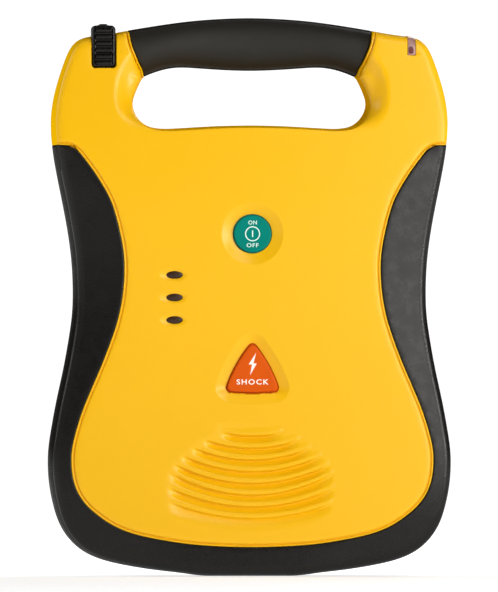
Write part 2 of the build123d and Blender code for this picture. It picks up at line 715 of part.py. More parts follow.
with BuildPart() as transformer_winding:
    with BuildSketch(Plane.XZ.offset(REAR_FACE - 20.0)) as windings:
        with Locations((48.0, 124.0)):
            with GridLocations(15.5, 28.0, 2, 1):
                Rectangle(6.0, 18.4)
    extrude(amount=18.0)
finish(transformer_winding, "transformer_winding")

with BuildPart() as output_module:
    with BuildSketch(Plane.XZ.offset(REAR_FACE - 11.0)) as module:
        with Locations((-32.0, 160.0)):
            RectangleRounded(44.0, 22.0, 1.5)
    extrude(amount=11.0)
finish(output_module, "output_module")

with BuildPart() as heat_spreader:
    with BuildSketch(Plane.XZ.offset(REAR_FACE - 13.0)) as spreader:
        with Locations((-32.0, 160.0)):
            Rectangle(50.0, 26.0)
    extrude(amount=2.0)
    with BuildSketch(Plane.XZ.offset(REAR_FACE - 19.0)) as fins:
        with Locations((-32.0, 160.0)):
            with GridLocations(7.0, 26.0, 7, 1):
                Rectangle(1.6, 26.0)
    extrude(amount=6.0)
finish(heat_spreader, "heat_spreader")

with BuildPart() as filter_inductors:
    with BuildSketch(Plane.XZ.offset(REAR_FACE - 9.0)) as toroids:
        with Locations((8.0, 160.0), (34.0, 160.0)):
            Circle(10.0)
            Circle(4.5, mode=Mode.SUBTRACT)
    extrude(amount=9.0)
    fillet(filter_inductors.edges().filter_by(GeomType.CIRCLE), radius=1.5)
finish(filter_inductors, "filter_inductors")

# ------------------------------------------------------------ pads plug and socket
with BuildPart() as pads_socket:
    with BuildSketch(Plane.XY.offset(248.0)) as socket_block:
        with Locations((PLUG_X, PLUG_Y)):
            RectangleRounded(15.0, 12.0, 1.5)
    extrude(amount=22.0)
    with BuildSketch(Plane.XY.offset(255.5)) as socket_mouth:
        with Locations((PLUG_X, PLUG_Y)):
            RectangleRounded(9.6, 8.6, 1.2)
    extrude(amount=20.0, mode=Mode.SUBTRACT)
    with BuildSketch(Plane.XY.offset(240.0)) as pin_holes:
        with Locations((PLUG_X - 2.4, PLUG_Y), (PLUG_X + 2.4, PLUG_Y)):
            Circle(0.8)
    extrude(amount=20.0, mode=Mode.SUBTRACT)
finish(pads_socket, "pads_socket")

with BuildPart() as socket_contacts:
    with BuildSketch(Plane.XY.offset(244.0)) as pins:
        with Locations((PLUG_X - 2.4, PLUG_Y), (PLUG_X + 2.4, PLUG_Y)):
            Circle(0.78)
    extrude(amount=22.0)
finish(socket_contacts, "socket_contacts")

with BuildPart() as pads_plug:
    with BuildSketch(Plane.XY.offset(PLUG_BOTTOM)) as plug_body:
        with Locations((PLUG_X, -15.6)):
            RectangleRounded(PLUG_SIZE[0], PLUG_SIZE[1], 1.9)
    extrude(amount=PLUG_SIZE[2])
    fillet(pads_plug.faces().sort_by(Axis.Z)[-1].edges(), radius=1.5)
    # finger ribs on the front
    with BuildSketch(Plane.YZ.offset(PLUG_X - 4.6)) as rib_gaps:
        with Locations(*[(-24.1, PLUG_BOTTOM + 3.4 + 3.76 * i) for i in range(5)]):
            Circle(1.3)
    extrude(amount=9.2, mode=Mode.SUBTRACT)
    # cord exit boss
    with BuildSketch(Plane.XY.offset(PLUG_BOTTOM + PLUG_SIZE[2] - 0.2)) as boss:
        with Locations((PLUG_X, -15.6)):
            Circle(2.2)
    extrude(amount=1.0)
    # nose
    with BuildSketch(Plane.XY.offset(257.0)) as nose:
        with Locations((PLUG_X, PLUG_Y)):
            RectangleRounded(9.0, 8.0, 1.0)
    extrude(amount=PLUG_BOTTOM - 257.0)
    with BuildSketch(Plane.XY.offset(256.0)) as sleeve_holes:
        with Locations((PLUG_X - 2.4, PLUG_Y), (PLUG_X + 2.4, PLUG_Y)):
            Circle(1.6)
    extrude(amount=13.0, mode=Mode.SUBTRACT)
finish(pads_plug, "pads_plug")

with BuildPart() as plug_contacts:
    with BuildSketch(Plane.XY.offset(257.4)) as sleeves:
        with Locations((PLUG_X - 2.4, PLUG_Y), (PLUG_X + 2.4, PLUG_Y)):
            Circle(1.58)
            Circle(0.93, mode=Mode.SUBTRACT)
    extrude(amount=11.4)
finish(plug_contacts, "plug_contacts")

# --------------------------------------------------------------- battery and bay
with BuildPart() as battery_bay_liner:
    with BuildSketch(Plane.YZ.offset(BAY_LEFT - 1.2)) as liner_outer:
        with Locations((sum(BAY_Y) / 2, sum(BAY_Z) / 2)):
            RectangleRounded(BAY_Y[1] - BAY_Y[0] + 2.4, BAY_Z[1] - BAY_Z[0] + 2.4,
                             BAY_CORNER + 1.2)
    extrude(amount=145)
    with BuildSketch(Plane.YZ.offset(BAY_LEFT)) as liner_inner:
        with Locations((sum(BAY_Y) / 2, sum(BAY_Z) / 2)):
            RectangleRounded(BAY_Y[1] - BAY_Y[0], BAY_Z[1] - BAY_Z[0], BAY_CORNER)
    extrude(amount=150, mode=Mode.SUBTRACT)
    extrude(body_outline(SKIN + WALL + 0.2), amount=-60, mode=Mode.INTERSECT)
    # slot for the eject button's tooth
    with BuildSketch(Plane.XY.offset(98.0)) as tooth_slot:
        with Locations((84.0, 14.0)):
            Rectangle(14.0, 4.4)
    extrude(amount=6.0, mode=Mode.SUBTRACT)
    # holes of the spring contacts
    with BuildSketch(Plane.YZ.offset(BAY_LEFT - 3)) as contact_holes:
        with Locations(*[(14.5, 50.0 + 8.0 * i) for i in range(4)]):
            Circle(1.3)
    extrude(amount=6.0, mode=Mode.SUBTRACT)
finish(battery_bay_liner, "battery_bay_liner")

with BuildPart() as bay_contacts:
    with BuildSketch(Plane.YZ.offset(BAY_LEFT - 8.0)) as contact_pins:
        with Locations(*[(14.5, 50.0 + 8.0 * i) for i in range(4)]):
            Circle(1.25)
    extrude(amount=7.8)
finish(bay_contacts, "bay_contacts")


def battery_blank(start, stop):
    """Solid outer shape of the battery pack between two stations along its length."""
    with BuildPart() as pack:
        with BuildSketch(Plane.YZ.offset(start)) as section:
            with Locations((sum(BAY_Y) / 2, sum(BAY_Z) / 2)):
                RectangleRounded(BAY_Y[1] - BAY_Y[0] - 2 * FIT,
                                 BAY_Z[1] - BAY_Z[0] - 2 * FIT, BAY_CORNER - FIT)
        extrude(amount=stop - start)
    return pack.part


with BuildPart() as battery_case:
    add(battery_blank(BAY_LEFT + FIT, 94.0))
    # space for the cells, open towards the front where the cover closes it
    with BuildSketch(Plane.XZ.offset(-2.1)) as cell_space:
        with Locations((30.6, 62.0)):
            Rectangle(122.4, 69.8)
    extrude(amount=-22.4, mode=Mode.SUBTRACT)
    with BuildSketch(Plane.XZ.offset(-2.1)) as cover_seat:
        with Locations((30.6, 62.0)):
            Rectangle(124.4, 71.4)
    extrude(amount=-1.6, mode=Mode.SUBTRACT)
    # guide groove for the eject button's tooth, open at the inner end
    with BuildSketch(Plane.XY.offset(97.0)) as guide:
        with Locations((28.25, 14.0)):
            Rectangle(122.5, 4.4)
    extrude(amount=6.0, mode=Mode.SUBTRACT)
finish(battery_case, "battery_case")

with BuildPart() as battery_cover:
    with BuildSketch(Plane.XZ.offset(-2.15)) as cover:
        with Locations((30.6, 62.0)):
            Rectangle(124.2, 71.2)
    extrude(amount=-1.5)
finish(battery_cover, "battery_cover")

CELLS = [(-20.6 + 17.3 * i, z) for i in range(5) for z in (27.25, 62.1)]
with BuildPart() as battery_cells:
    for x, z in CELLS:
        with BuildSketch(Plane.XY.offset(z)) as cell:
            with Locations((x, 15.0)):
                Circle(8.4)
        extrude(amount=33.6)
    fillet(battery_cells.edges().filter_by(GeomType.CIRCLE), radius=0.8)
    for x, z in CELLS:
        with BuildSketch(Plane.XY.offset(z + 33.6)) as cell_tip:
            with Locations((x, 15.0)):
                Circle(3.0)
        extrude(amount=0.8)
finish(battery_cells, "battery_cells")

with BuildPart() as battery_board:
    with BuildSketch(Plane.YZ.offset(62.0)) as small_board:
        with Locations((14.5, 62.0)):
            Rectangle(20.0, 66.0)
    extrude(amount=1.2)
    with BuildSketch(Plane.YZ.offset(63.2)) as board_parts:
        with Locations((14.5, 44.0), (14.5, 62.0), (14.5, 80.0)):
            Rectangle(10.0, 10.0)
    extrude(amount=5.0)
finish(battery_board, "battery_board")

with BuildPart() as battery_terminals:
    with BuildSketch(Plane.YZ.offset(BAY_LEFT + 0.05)) as terminal_pads:
        with Locations(*[(14.5, 50.0 + 8.0 * i) for i in range(4)]):
            Circle(2.4)
    extrude(amount=FIT - 0.05)
finish(battery_terminals, "battery_terminals")

with BuildPart() as battery_end_cap:
    add(battery_blank(94.0, 115.0))
    extrude(body_outline(0.25), amount=-60, mode=Mode.INTERSECT)
    # finger scoop
    with BuildSketch(Plane.XZ) as scoop:
        with Locations((112.0, 62.0)):
            Ellipse(9.0, 17.0)
    extrude(amount=-12.0, mode=Mode.SUBTRACT)
finish(battery_end_cap, "battery_end_cap")

with BuildPart() as eject_button:
    with BuildSketch(Plane.YZ.offset(82.0)) as eject_bar:
        with Locations((14.0, 108.0)):
            RectangleRounded(12.0, 9.0, 1.5)
    extrude(amount=30.0)
    extrude(body_outline(0.3), amount=-60, mode=Mode.INTERSECT)
    with BuildSketch(Plane.YZ.offset(86.0)) as eject_flange:
        with Locations((14.0, 108.6)):
            RectangleRounded(15.0, 10.2, 1.5)
    extrude(amount=6.0)
    with BuildSketch(Plane.XY.offset(97.6)) as tooth:
        with Locations((84.0, 14.0)):
            Rectangle(4.0, 3.6)
    extrude(amount=7.4)
finish(eject_button, "eject_button")

# ------------------------------------------------------------------- back of body
with BuildPart() as pads_holder:
    with BuildSketch(Plane.XZ.offset(-32.4)) as holder_plate:
        with Locations((0, sum(HOLDER_Z) / 2 + 1.0)):
            RectangleRounded(2 * HOLDER_HALF - 1.2, HOLDER_Z[1] - HOLDER_Z[0] - 1.0, 5.0)
        with Locations((0, HOLDER_Z[1] + 6.0)):
            Ellipse(26.0, 17.0, mode=Mode.SUBTRACT)
    extrude(amount=-2.0)
    with BuildSketch(Plane.XZ.offset(-27.0)) as rails:
        with Locations((0, sum(HOLDER_Z) / 2 + 1.0)):
            RectangleRounded(2 * HOLDER_HALF - 1.2, HOLDER_Z[1] - HOLDER_Z[0] - 1.0, 5.0)
            with Locations((0, 6.0)):
                RectangleRounded(2 * HOLDER_HALF - 17.0, HOLDER_Z[1] - HOLDER_Z[0] + 4.0, 3.0,
                                 mode=Mode.SUBTRACT)
    extrude(amount=-5.4)
    with BuildSketch(Plane.XZ.offset(-26.0)) as holder_holes:
        with Locations((0, 147.0)):
            with GridLocations(108.0, 60.0, 2, 2):
                Circle(1.4)
    extrude(amount=-10.0, mode=Mode.SUBTRACT)
    with BuildSketch(Plane.XZ.offset(-32.2)) as holder_sinks:
        with Locations((0, 147.0)):
            with GridLocations(108.0, 60.0, 2, 2):
                Circle(2.6)
    extrude(amount=-6.0, mode=Mode.SUBTRACT)
finish(pads_holder, "pads_holder")

with BuildPart() as holder_screws:
    with BuildSketch(Plane.XZ.offset(-32.2)) as holder_heads:
        with Locations((0, 147.0)):
            with GridLocations(108.0, 60.0, 2, 2):
                Circle(2.4)
    extrude(amount=-1.8)
    with BuildSketch(Plane.XZ.offset(-25.0)) as holder_shanks:
        with Locations((0, 147.0)):
            with GridLocations(108.0, 60.0, 2, 2):
                Circle(1.05)
    extrude(amount=-7.2)
finish(holder_screws, "holder_screws")

with BuildPart() as label_plate:
    with BuildSketch(Plane.XZ.offset(-HALF_DEPTH + 0.6)) as label:
        with Locations((0, 62.0)):
            RectangleRounded(90.0, 56.0, 3.0)
    extrude(amount=-0.45)
finish(label_plate, "label_plate")

with BuildPart() as case_screws:
    with BuildSketch(Plane.XZ.offset(-4.0)) as case_heads:
        with Locations(*CASE_SCREWS):
            Circle(2.8)
    extrude(amount=-2.4)
    with BuildSketch(Plane.XZ.offset(-4.0)) as case_shanks:
        with Locations(*CASE_SCREWS):
            Circle(1.42)
    extrude(amount=16.0)
    with BuildSketch(Plane.XZ.offset(-5.0)) as drives:
        with Locations(*CASE_SCREWS):
            RegularPolygon(1.3, 6)
    extrude(amount=-2.0, mode=Mode.SUBTRACT)
finish(case_screws, "case_screws")

# --------------------------------------------------------------- internal leads
with BuildPart() as speaker_leads:
    for shift in (-3.0, 3.0):
        with BuildLine() as run:
            FilletPolyline((shift, -7.0, 60.0), (shift, -3.0, 66.0), (shift, -2.6, 82.0),
                           (shift, -5.0, 88.0), (shift, -9.2, 90.0), radius=2.0)
        with BuildSketch(Plane(origin=(shift, -7.0, 60.0), z_dir=(0, 4.0, 6.0))) as wire:
            Circle(0.7)
        sweep(path=run.wires()[0])
finish(speaker_leads, "speaker_leads")

with BuildPart() as capacitor_leads:
    for depth, drop in ((0.0, 149.0), (10.0, 156.0)):
        with BuildLine() as run:
            FilletPolyline((32.2, depth, 123.0), (33.6, depth, 123.0), (33.6, depth, 142.0),
                           (18.0, depth - 1.0, drop), (-6.0, depth - 2.0, drop), radius=1.2)
        with BuildSketch(Plane(origin=(32.2, depth, 123.0), z_dir=(1, 0, 0))) as wire:
            Circle(0.9)
        sweep(path=run.wires()[0])
finish(capacitor_leads, "capacitor_leads")
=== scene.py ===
import json
import math

import bmesh
import bpy
import numpy as np
from mathutils import Matrix, Vector
from mathutils.geometry import delaunay_2d_cdt
from mathutils.kdtree import KDTree


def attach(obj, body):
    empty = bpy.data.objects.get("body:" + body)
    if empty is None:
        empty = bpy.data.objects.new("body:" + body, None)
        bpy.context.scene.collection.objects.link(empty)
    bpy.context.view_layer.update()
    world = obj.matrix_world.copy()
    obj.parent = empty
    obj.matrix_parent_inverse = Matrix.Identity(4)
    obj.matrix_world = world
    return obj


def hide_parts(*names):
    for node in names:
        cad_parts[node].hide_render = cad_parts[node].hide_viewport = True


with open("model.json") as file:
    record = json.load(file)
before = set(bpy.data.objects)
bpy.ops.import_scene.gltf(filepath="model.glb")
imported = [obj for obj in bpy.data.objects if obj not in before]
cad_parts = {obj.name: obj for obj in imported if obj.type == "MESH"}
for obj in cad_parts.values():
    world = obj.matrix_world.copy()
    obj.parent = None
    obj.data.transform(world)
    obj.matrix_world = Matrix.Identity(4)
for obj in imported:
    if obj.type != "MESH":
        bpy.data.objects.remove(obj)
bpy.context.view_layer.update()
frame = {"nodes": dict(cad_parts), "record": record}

MM = 0.001
rng = np.random.default_rng(7)

# ------------------------------------------------------------------ dimensions (mm)
SHIFT = 0.4                    # the show surface lies this far inside the CAD face
BUTTON_Z = 184.0
LAMP_X, LAMP_Z, LAMP_SIZE = -41.9, (161.9, 149.8, 137.7), (9.0, 4.2)
SHOCK_LOW, SHOCK_HIGH, SHOCK_HALF = 98.5, 124.9, 13.85
PLUG_X, PLUG_Y, PLUG_BOTTOM = -79.4, -15.0, 273.3
WINDOW_X = 86.3
TOP_CUT = 231.6
EDGE_R = 5.0                   # rounding of the outer edge
BUMPER_FALL = 0.115            # the overmould leans back towards the outside

SIDE = [
    (22.0, 0.0), (36.0, 1.4), (51.0, 3.2), (65.6, 5.5), (76.5, 7.9), (84.5, 10.7),
    (90.5, 14.1), (95.5, 18.5), (99.2, 23.2), (102.3, 29.0), (105.2, 38.0),
    (107.2, 48.0), (108.1, 59.2), (107.85, 67.8), (106.3, 79.0), (103.6, 93.7),
    (99.9, 110.9), (96.8, 128.1), (95.1, 141.0), (94.7, 153.9), (95.6, 171.1),
    (98.0, 188.3), (101.3, 205.5), (104.6, 222.7), (106.3, 236.5), (106.55, 244.2),
    (105.9, 252.8), (104.2, 261.4), (101.7, 270.0), (98.7, 278.6), (96.9, 282.6),
    (94.7, 285.9), (92.0, 288.2), (88.7, 289.6), (84.4, 290.4), (79.0, 291.1),
    (72.0, 292.2), (66.0, 293.3)]
PROFILE = [(-4.0, 34.0), (0.0, 34.1), (60.0, 34.5), (120.0, 34.5), (180.0, 34.3),
           (215.0, 33.2), (245.0, 30.4), (270.0, 26.6), (294.0, 22.4), (304.0, 20.6)]
PANEL_EDGE = [
    (0.0, 15.75), (20.0, 16.3), (31.0, 17.1), (42.0, 18.5), (53.0, 20.4), (65.0, 23.3),
    (75.0, 27.5), (84.0, 33.6), (89.6, 38.8), (93.6, 44.6), (96.2, 51.4), (97.35, 60.0),
    (97.1, 68.0), (95.3, 76.5), (92.3, 86.5), (87.4, 99.0), (82.0, 111.5), (76.8, 124.8),
    (72.8, 136.8), (70.1, 149.5), (68.95, 163.5), (69.2, 172.0), (70.5, 181.0),
    (73.0, 192.0), (76.6, 202.8), (81.4, 211.6), (86.8, 219.8), (92.6, 227.4), (96.4, 232.4)]
OPENING = [(57.4, 268.2), (59.6, 264.0), (61.6, 259.3), (62.9, 254.6), (61.8, 249.0),
           (59.4, 245.3), (55.6, 242.4), (50.0, 240.9), (40.3, 240.8), (23.0, 241.8),
           (0.0, 242.4)]
GRIP_END = [(57.2, 268.4), (58.6, 272.9), (60.6, 276.5), (61.9, 279.5), (63.6, 283.5),
            (65.5, 291.0), (65.9, 293.3)]
GRIP_TOP = [(66.4, 293.3), (48.9, 296.2), (31.7, 298.5), (14.5, 299.8), (0.0, 300.2)]
GRIP_UNDER = [(57.4, 268.2), (50.0, 271.2), (40.5, 273.3), (28.0, 273.1), (14.0, 272.2),
              (0.0, 271.8)]
CASE_SCREWS = [(-45.0, 14.0), (45.0, 14.0), (-92.0, 62.0), (-83.0, 150.0),
               (83.0, 150.0), (-94.5, 250.0), (94.5, 250.0)]
BOARD_SCREWS = [(-54.0, 91.0), (54.0, 91.0), (-54.0, 222.0), (54.0, 222.0)]
LOUVRES = [(16.5, 75.7, 2.0), (26.0, 69.2, 4.6), (32.0, 62.9, 6.5), (37.6, 56.6, 8.6),
           (41.6, 50.3, 10.0), (44.0, 44.0, 11.8), (44.6, 37.7, 10.2), (43.6, 31.4, 8.2)]


# ------------------------------------------------------------------ curves
def spline(points, start=None, end=None, step=0.4):
    """Points along a cubic spline through the given ones, about step apart."""
    P = np.array(points, float)
    n = len(P)
    h = np.linalg.norm(np.diff(P, axis=0), axis=1)
    A, B = np.zeros((n, n)), np.zeros((n, 2))
    for i in range(1, n - 1):
        A[i, i - 1], A[i, i], A[i, i + 1] = h[i], 2 * (h[i - 1] + h[i]), h[i - 1]
        B[i] = 3 * (h[i] * (P[i] - P[i - 1]) / h[i - 1] + h[i - 1] * (P[i + 1] - P[i]) / h[i])
    for i, j, t in ((0, 1, start), (n - 1, n - 2, end)):
        if t is None:
            A[i, i], A[i, j] = 2, 1
            B[i] = 3 * (P[max(i, j)] - P[min(i, j)]) / h[min(i, j)]
        else:
            t = np.array(t, float)
            A[i, i], B[i] = 1, t / np.linalg.norm(t)
    M = np.linalg.solve(A, B)
    out = []
    for i in range(n - 1):
        k = max(1, int(round(h[i] / step)))
        u = (np.arange(k) / k)[:, None]
        out.append((2 * u**3 - 3 * u**2 + 1) * P[i] + (u**3 - 2 * u**2 + u) * h[i] * M[i]
                   + (-2 * u**3 + 3 * u**2) * P[i + 1] + (u**3 - u**2) * h[i] * M[i + 1])
    out.append(P[-1:])
    return np.vstack(out)


def resample(line, step, closed=False):
    """The same polyline with points about step apart."""
    L = np.vstack([line, line[:1]]) if closed else np.array(line, float)
    s = np.r_[0, np.cumsum(np.linalg.norm(np.diff(L, axis=0), axis=1))]
    k = max(2, int(round(s[-1] / step)))
    t = np.linspace(0, s[-1], k + 1)
    out = np.column_stack([np.interp(t, s, L[:, 0]), np.interp(t, s, L[:, 1])])
    return out[:-1] if closed else out


def straight(a, b, step=0.6):
    k = max(1, int(round(math.dist(a, b) / step)))
    t = np.linspace(0, 1, k + 1)[:, None]
    return np.array(a, float) * (1 - t) + np.array(b, float) * t


def offset(line, d, closed=False):
    """Polyline moved sideways by d, to its left."""
    if closed:
        T = np.roll(line, -1, 0) - np.roll(line, 1, 0)
    else:
        T = np.gradient(line, axis=0)
    T /= np.maximum(np.linalg.norm(T, axis=1), 1e-9)[:, None]
    return line + d * np.column_stack([-T[:, 1], T[:, 0]])


def mirrored(line):
    """Left-hand copy, run the other way."""
    return (line * np.array([-1.0, 1.0]))[::-1]


def inside(loop, P):
    """Which of the points P are inside the closed loop."""
    x, z = P[:, 0], P[:, 1]
    hit = np.zeros(len(P), bool)
    lo, hi = loop.min(0), loop.max(0)
    near = np.where((x >= lo[0]) & (x <= hi[0]) & (z >= lo[1]) & (z <= hi[1]))[0]
    a, b = loop, np.roll(loop, -1, 0)
    for c in range(0, len(near), 4000):
        i = near[c:c + 4000]
        zz, xx = z[i][:, None], x[i][:, None]
        cross = (a[:, 1] > zz) != (b[:, 1] > zz)
        dz = np.where(np.abs(b[:, 1] - a[:, 1]) < 1e-12, 1e-12, b[:, 1] - a[:, 1])
        xc = a[:, 0] + (zz - a[:, 1]) * (b[:, 0] - a[:, 0]) / dz
        hit[i] = (np.sum(cross & (xx < xc), axis=1) % 2) == 1
    return hit


class Dist:
    """Distance from points to a polyline."""

    def __init__(self, line, closed=False, step=0.25):
        L = resample(line, step, closed)
        if closed:
            L = np.vstack([L, L[:1]])
        self.L = L
        self.tree = KDTree(len(L))
        for i, (x, z) in enumerate(L):
            self.tree.insert((x, z, 0.0), i)
        self.tree.balance()

    def __call__(self, P):
        find = self.tree.find
        idx = np.fromiter((find((x, z, 0.0))[1] for x, z in P.tolist()), int, len(P))
        best = np.full(len(P), 1e9)
        for a, b in ((idx - 1, idx), (idx, idx + 1)):
            ok = (a >= 0) & (b < len(self.L))
            A, B = self.L[np.clip(a, 0, None)], self.L[np.clip(b, None, len(self.L) - 1)]
            D = B - A
            t = np.clip(np.einsum("ij,ij->i", P - A, D)
                        / np.maximum(np.einsum("ij,ij->i", D, D), 1e-12), 0, 1)
            d = np.linalg.norm(P - A - t[:, None] * D, axis=1)
            best = np.where(ok, np.minimum(best, d), best)
        return best


def smooth(a, b, x):
    t = np.clip((x - a) / (b - a), 0, 1)
    return t * t * (3 - 2 * t)


def folded(P):
    return np.column_stack([np.abs(P[:, 0]), P[:, 1]])


def round_off(d, r):
    """Drop of a rounded edge of radius r at distance d inside it."""
    t = np.clip((r - d) / r, 0.0, 1.0)
    return r - r * np.sqrt(np.maximum(0, 1 - t * t))


def draft(h, d, reach, low=0.9):
    """Pulls the surface down to the parting edge over the last stretch beside it."""
    t = np.clip(d / reach, 0.0, 1.0) ** 0.45
    return np.where(d < reach, np.minimum(h, low + (h - low) * t), h)


WALL_STEPS = [0.04, 0.14, 0.32, 0.6, 0.92, 1.25]


def arc_steps(r, n=9):
    return [r * (1 - math.cos(math.radians(a))) for a in np.linspace(0, 90, n)]


# ------------------------------------------------------------------ outlines (mm)
side = spline(SIDE, (1, 0), (-6, 1.1))
base_line = straight((0, 0), (22, 0))[:-1]
contour_r = np.vstack([base_line, side])                   # base centre to the grip's end
profile = spline(PROFILE, step=1.0)
panel_r = spline(PANEL_EDGE, (1, 0), (3.8, 5.0))
cut = np.argmax(panel_r[:, 1] > TOP_CUT)
panel_low = panel_r[:cut].copy()
corner_x = np.interp(TOP_CUT, panel_r[cut - 1:cut + 1, 1], panel_r[cut - 1:cut + 1, 0])
side_cut = np.argmax(side[:, 1] > TOP_CUT)
side_x = np.interp(TOP_CUT, side[side_cut - 1:side_cut + 1, 1],
                   side[side_cut - 1:side_cut + 1, 0])
opening_r = spline(OPENING, (2.2, -4.2), (-1, 0))          # grip end down to the middle
grip_end_r = spline(GRIP_END, (0.9, 3.0), (0.2, 1.0))      # upwards
grip_top_r = spline(GRIP_TOP, (-17, 3), (-1, 0))[::-1]     # middle outwards
grip_under_r = spline(GRIP_UNDER, (-7, 3.4), (-1, 0))[::-1]
# overmould edge: up the panel and out along its top, with an eased corner
low_edge = panel_low[:-17]
tip = np.array([corner_x, TOP_CUT])
a0, a2 = low_edge[-1], np.array([corner_x + 5.4, TOP_CUT])
tq = np.linspace(0, 1, 18)[1:-1, None]
ease = (1 - tq) ** 2 * a0 + 2 * tq * (1 - tq) * tip + tq**2 * a2
edge_r = np.vstack([low_edge, ease, straight(a2, (114.0, TOP_CUT), 0.6)])

D_contour = Dist(contour_r)
D_panel = Dist(edge_r)
D_opening = Dist(opening_r)
D_gripend = Dist(grip_end_r)
panel_region = np.vstack([[[0, 15.75]], panel_r, [[96.4, 330.0]], [[0, 330.0]]])


def half_depth(z):
    return np.interp(z, profile[:, 0], profile[:, 1])


def panel_distance(Q):
    """Distance to the overmould's edge, positive on the yellow side. Q is folded."""
    d = D_panel(Q)
    return np.where((Q[:, 1] > TOP_CUT) | inside(panel_region, Q), d, -d)


def three_point(a, b, c, n=40):
    """Centre, radius and points of the arc through three points."""
    (ax, ay), (bx, by), (cx, cy) = a, b, c
    d = 2 * (ax * (by - cy) + bx * (cy - ay) + cx * (ay - by))
    ux = ((ax**2 + ay**2) * (by - cy) + (bx**2 + by**2) * (cy - ay)
          + (cx**2 + cy**2) * (ay - by)) / d
    uy = ((ax**2 + ay**2) * (cx - bx) + (bx**2 + by**2) * (ax - cx)
          + (cx**2 + cy**2) * (bx - ax)) / d
    return np.array([ux, uy]), math.hypot(ax - ux, ay - uy)


def shock_outline(grow, n=26):
    """Rounded triangle with bulged sides, anticlockwise from the front's left."""
    low, high = SHOCK_LOW - grow, SHOCK_HIGH + 1.6 + grow * 1.35
    half = SHOCK_HALF + 1.1 + grow * 1.25
    mid, r = (low + high) / 2, 2.6 + grow * 0.45
    corners = [(-half, low + 0.9), (half, low + 0.9), (0.0, high)]
    mids = [(0.0, low - 0.05), (half / 2 + 1.3, mid + 1.6), (-half / 2 - 1.3, mid + 1.6)]
    circles = [three_point(corners[i], mids[i], corners[(i + 1) % 3]) for i in range(3)]

    def meet(c0, r0, c1, r1, near):
        d = np.linalg.norm(c1 - c0)
        a = (r0**2 - r1**2 + d**2) / (2 * d)
        h = math.sqrt(max(0.0, r0**2 - a**2))
        m = c0 + a * (c1 - c0) / d
        n2 = np.array([-(c1 - c0)[1], (c1 - c0)[0]]) / d
        both = (m + h * n2, m - h * n2)
        return min(both, key=lambda p: np.linalg.norm(p - near))

    fillets = []
    for i in range(3):                       # fillet at corner i, between side i-1 and side i
        (c0, r0), (c1, r1) = circles[i - 1], circles[i]
        f = meet(c0, r0 - r, c1, r1 - r, np.array(corners[i]))
        fillets.append((f, c0 + r0 * (f - c0) / np.linalg.norm(f - c0),
                        c1 + r1 * (f - c1) / np.linalg.norm(f - c1)))

    def sweep(c, p, q, k):
        a0, a1 = math.atan2(*(p - c)[::-1]), math.atan2(*(q - c)[::-1])
        while a1 < a0:
            a1 += 2 * math.pi
        t = np.linspace(a0, a1, k, endpoint=False)
        return c + np.linalg.norm(p - c) * np.column_stack([np.cos(t), np.sin(t)])

    out = []
    for i in range(3):
        f, p, q = fillets[i]
        out.append(sweep(f, p, q, 10))
        out.append(sweep(circles[i][0], q, fillets[(i + 1) % 3][1], n))
    return np.vstack(out)


def circle(x, z, r, n=72, rz=None):
    t = np.linspace(0, 2 * np.pi, n, endpoint=False)
    return np.column_stack([x + r * np.cos(t), z + (rz or r) * np.sin(t)])


def rounded_box(x0, x1, z0, z1, r, step=0.5, corners=(1, 1, 1, 1)):
    """Anticlockwise from the lower left; corners says which are rounded."""
    out = []
    for (cx, cz, a), on in zip(((x0 + r, z0 + r, 180), (x1 - r, z0 + r, 270), (x1 - r, z1 - r, 0),
                                (x0 + r, z1 - r, 90)), corners):
        if on:
            t = np.radians(np.linspace(a, a + 90, 7))
            out.append(np.column_stack([cx + r * np.cos(t), cz + r * np.sin(t)]))
        else:
            s = {180: (x0, z0), 270: (x1, z0), 0: (x1, z1), 90: (x0, z1)}[a]
            out.append(np.array([s], float))
    loop = np.vstack(out)
    return resample(loop, step, True)


# ------------------------------------------------------------------ mesh building
def hexgrid(x0, x1, z0, z1, s):
    rows = int((z1 - z0) / (s * 0.866)) + 1
    cols = int((x1 - x0) / s) + 1
    gx, gz = np.meshgrid(np.arange(cols) * s + x0, np.arange(rows) * s * 0.866 + z0)
    gx = gx + (np.arange(rows) % 2)[:, None] * s / 2
    return np.column_stack([gx.ravel(), gz.ravel()])


def triangulate(loops, lines, points, keep=None):
    """Triangles of the area inside loops[0] and outside the others.
    lines are (points, closed) chains kept as edges. Returns points and triangles."""
    verts, edges, n = [], [], 0
    for L in loops:
        verts.append(L)
        edges += [(n + i, n + (i + 1) % len(L)) for i in range(len(L))]
        n += len(L)
    for L, closed in lines:
        if len(L) < 2:
            continue
        verts.append(L)
        k = len(L)
        edges += [(n + i, n + (i + 1) % k) for i in range(k if closed else k - 1)]
        n += k
    verts.append(points)
    V = np.vstack(verts)
    out = delaunay_2d_cdt([Vector((float(x), float(z))) for x, z in V], edges, [], 0, 1e-6)
    P = np.array([(v.x, v.y) for v in out[0]], float)
    T = np.array(out[2], int)
    C = P[T].mean(axis=1)
    good = inside(loops[0], C)
    for L in loops[1:]:
        good &= ~inside(L, C)
    if keep is not None:
        good &= keep(C)
    T = T[good]
    a, b, c = P[T[:, 0]], P[T[:, 1]], P[T[:, 2]]
    area = (b[:, 0] - a[:, 0]) * (c[:, 1] - a[:, 1]) - (b[:, 1] - a[:, 1]) * (c[:, 0] - a[:, 0])
    T[area < 0] = T[area < 0][:, ::-1]
    T = T[np.abs(area) > 1e-9]
    used = np.unique(T)
    remap = np.full(len(P), -1)
    remap[used] = np.arange(len(used))
    return P[used], remap[T]


def thin_out(points, lines, gap):
    """Leaves out the points that come nearer than gap to one of the lines."""
    L = np.vstack(lines)
    tree = KDTree(len(L))
    for i, (x, z) in enumerate(L):
        tree.insert((x, z, 0.0), i)
    tree.balance()
    find = tree.find
    d = np.fromiter((find((x, z, 0.0))[2] for x, z in points.tolist()), float, len(points))
    return points[d > gap]


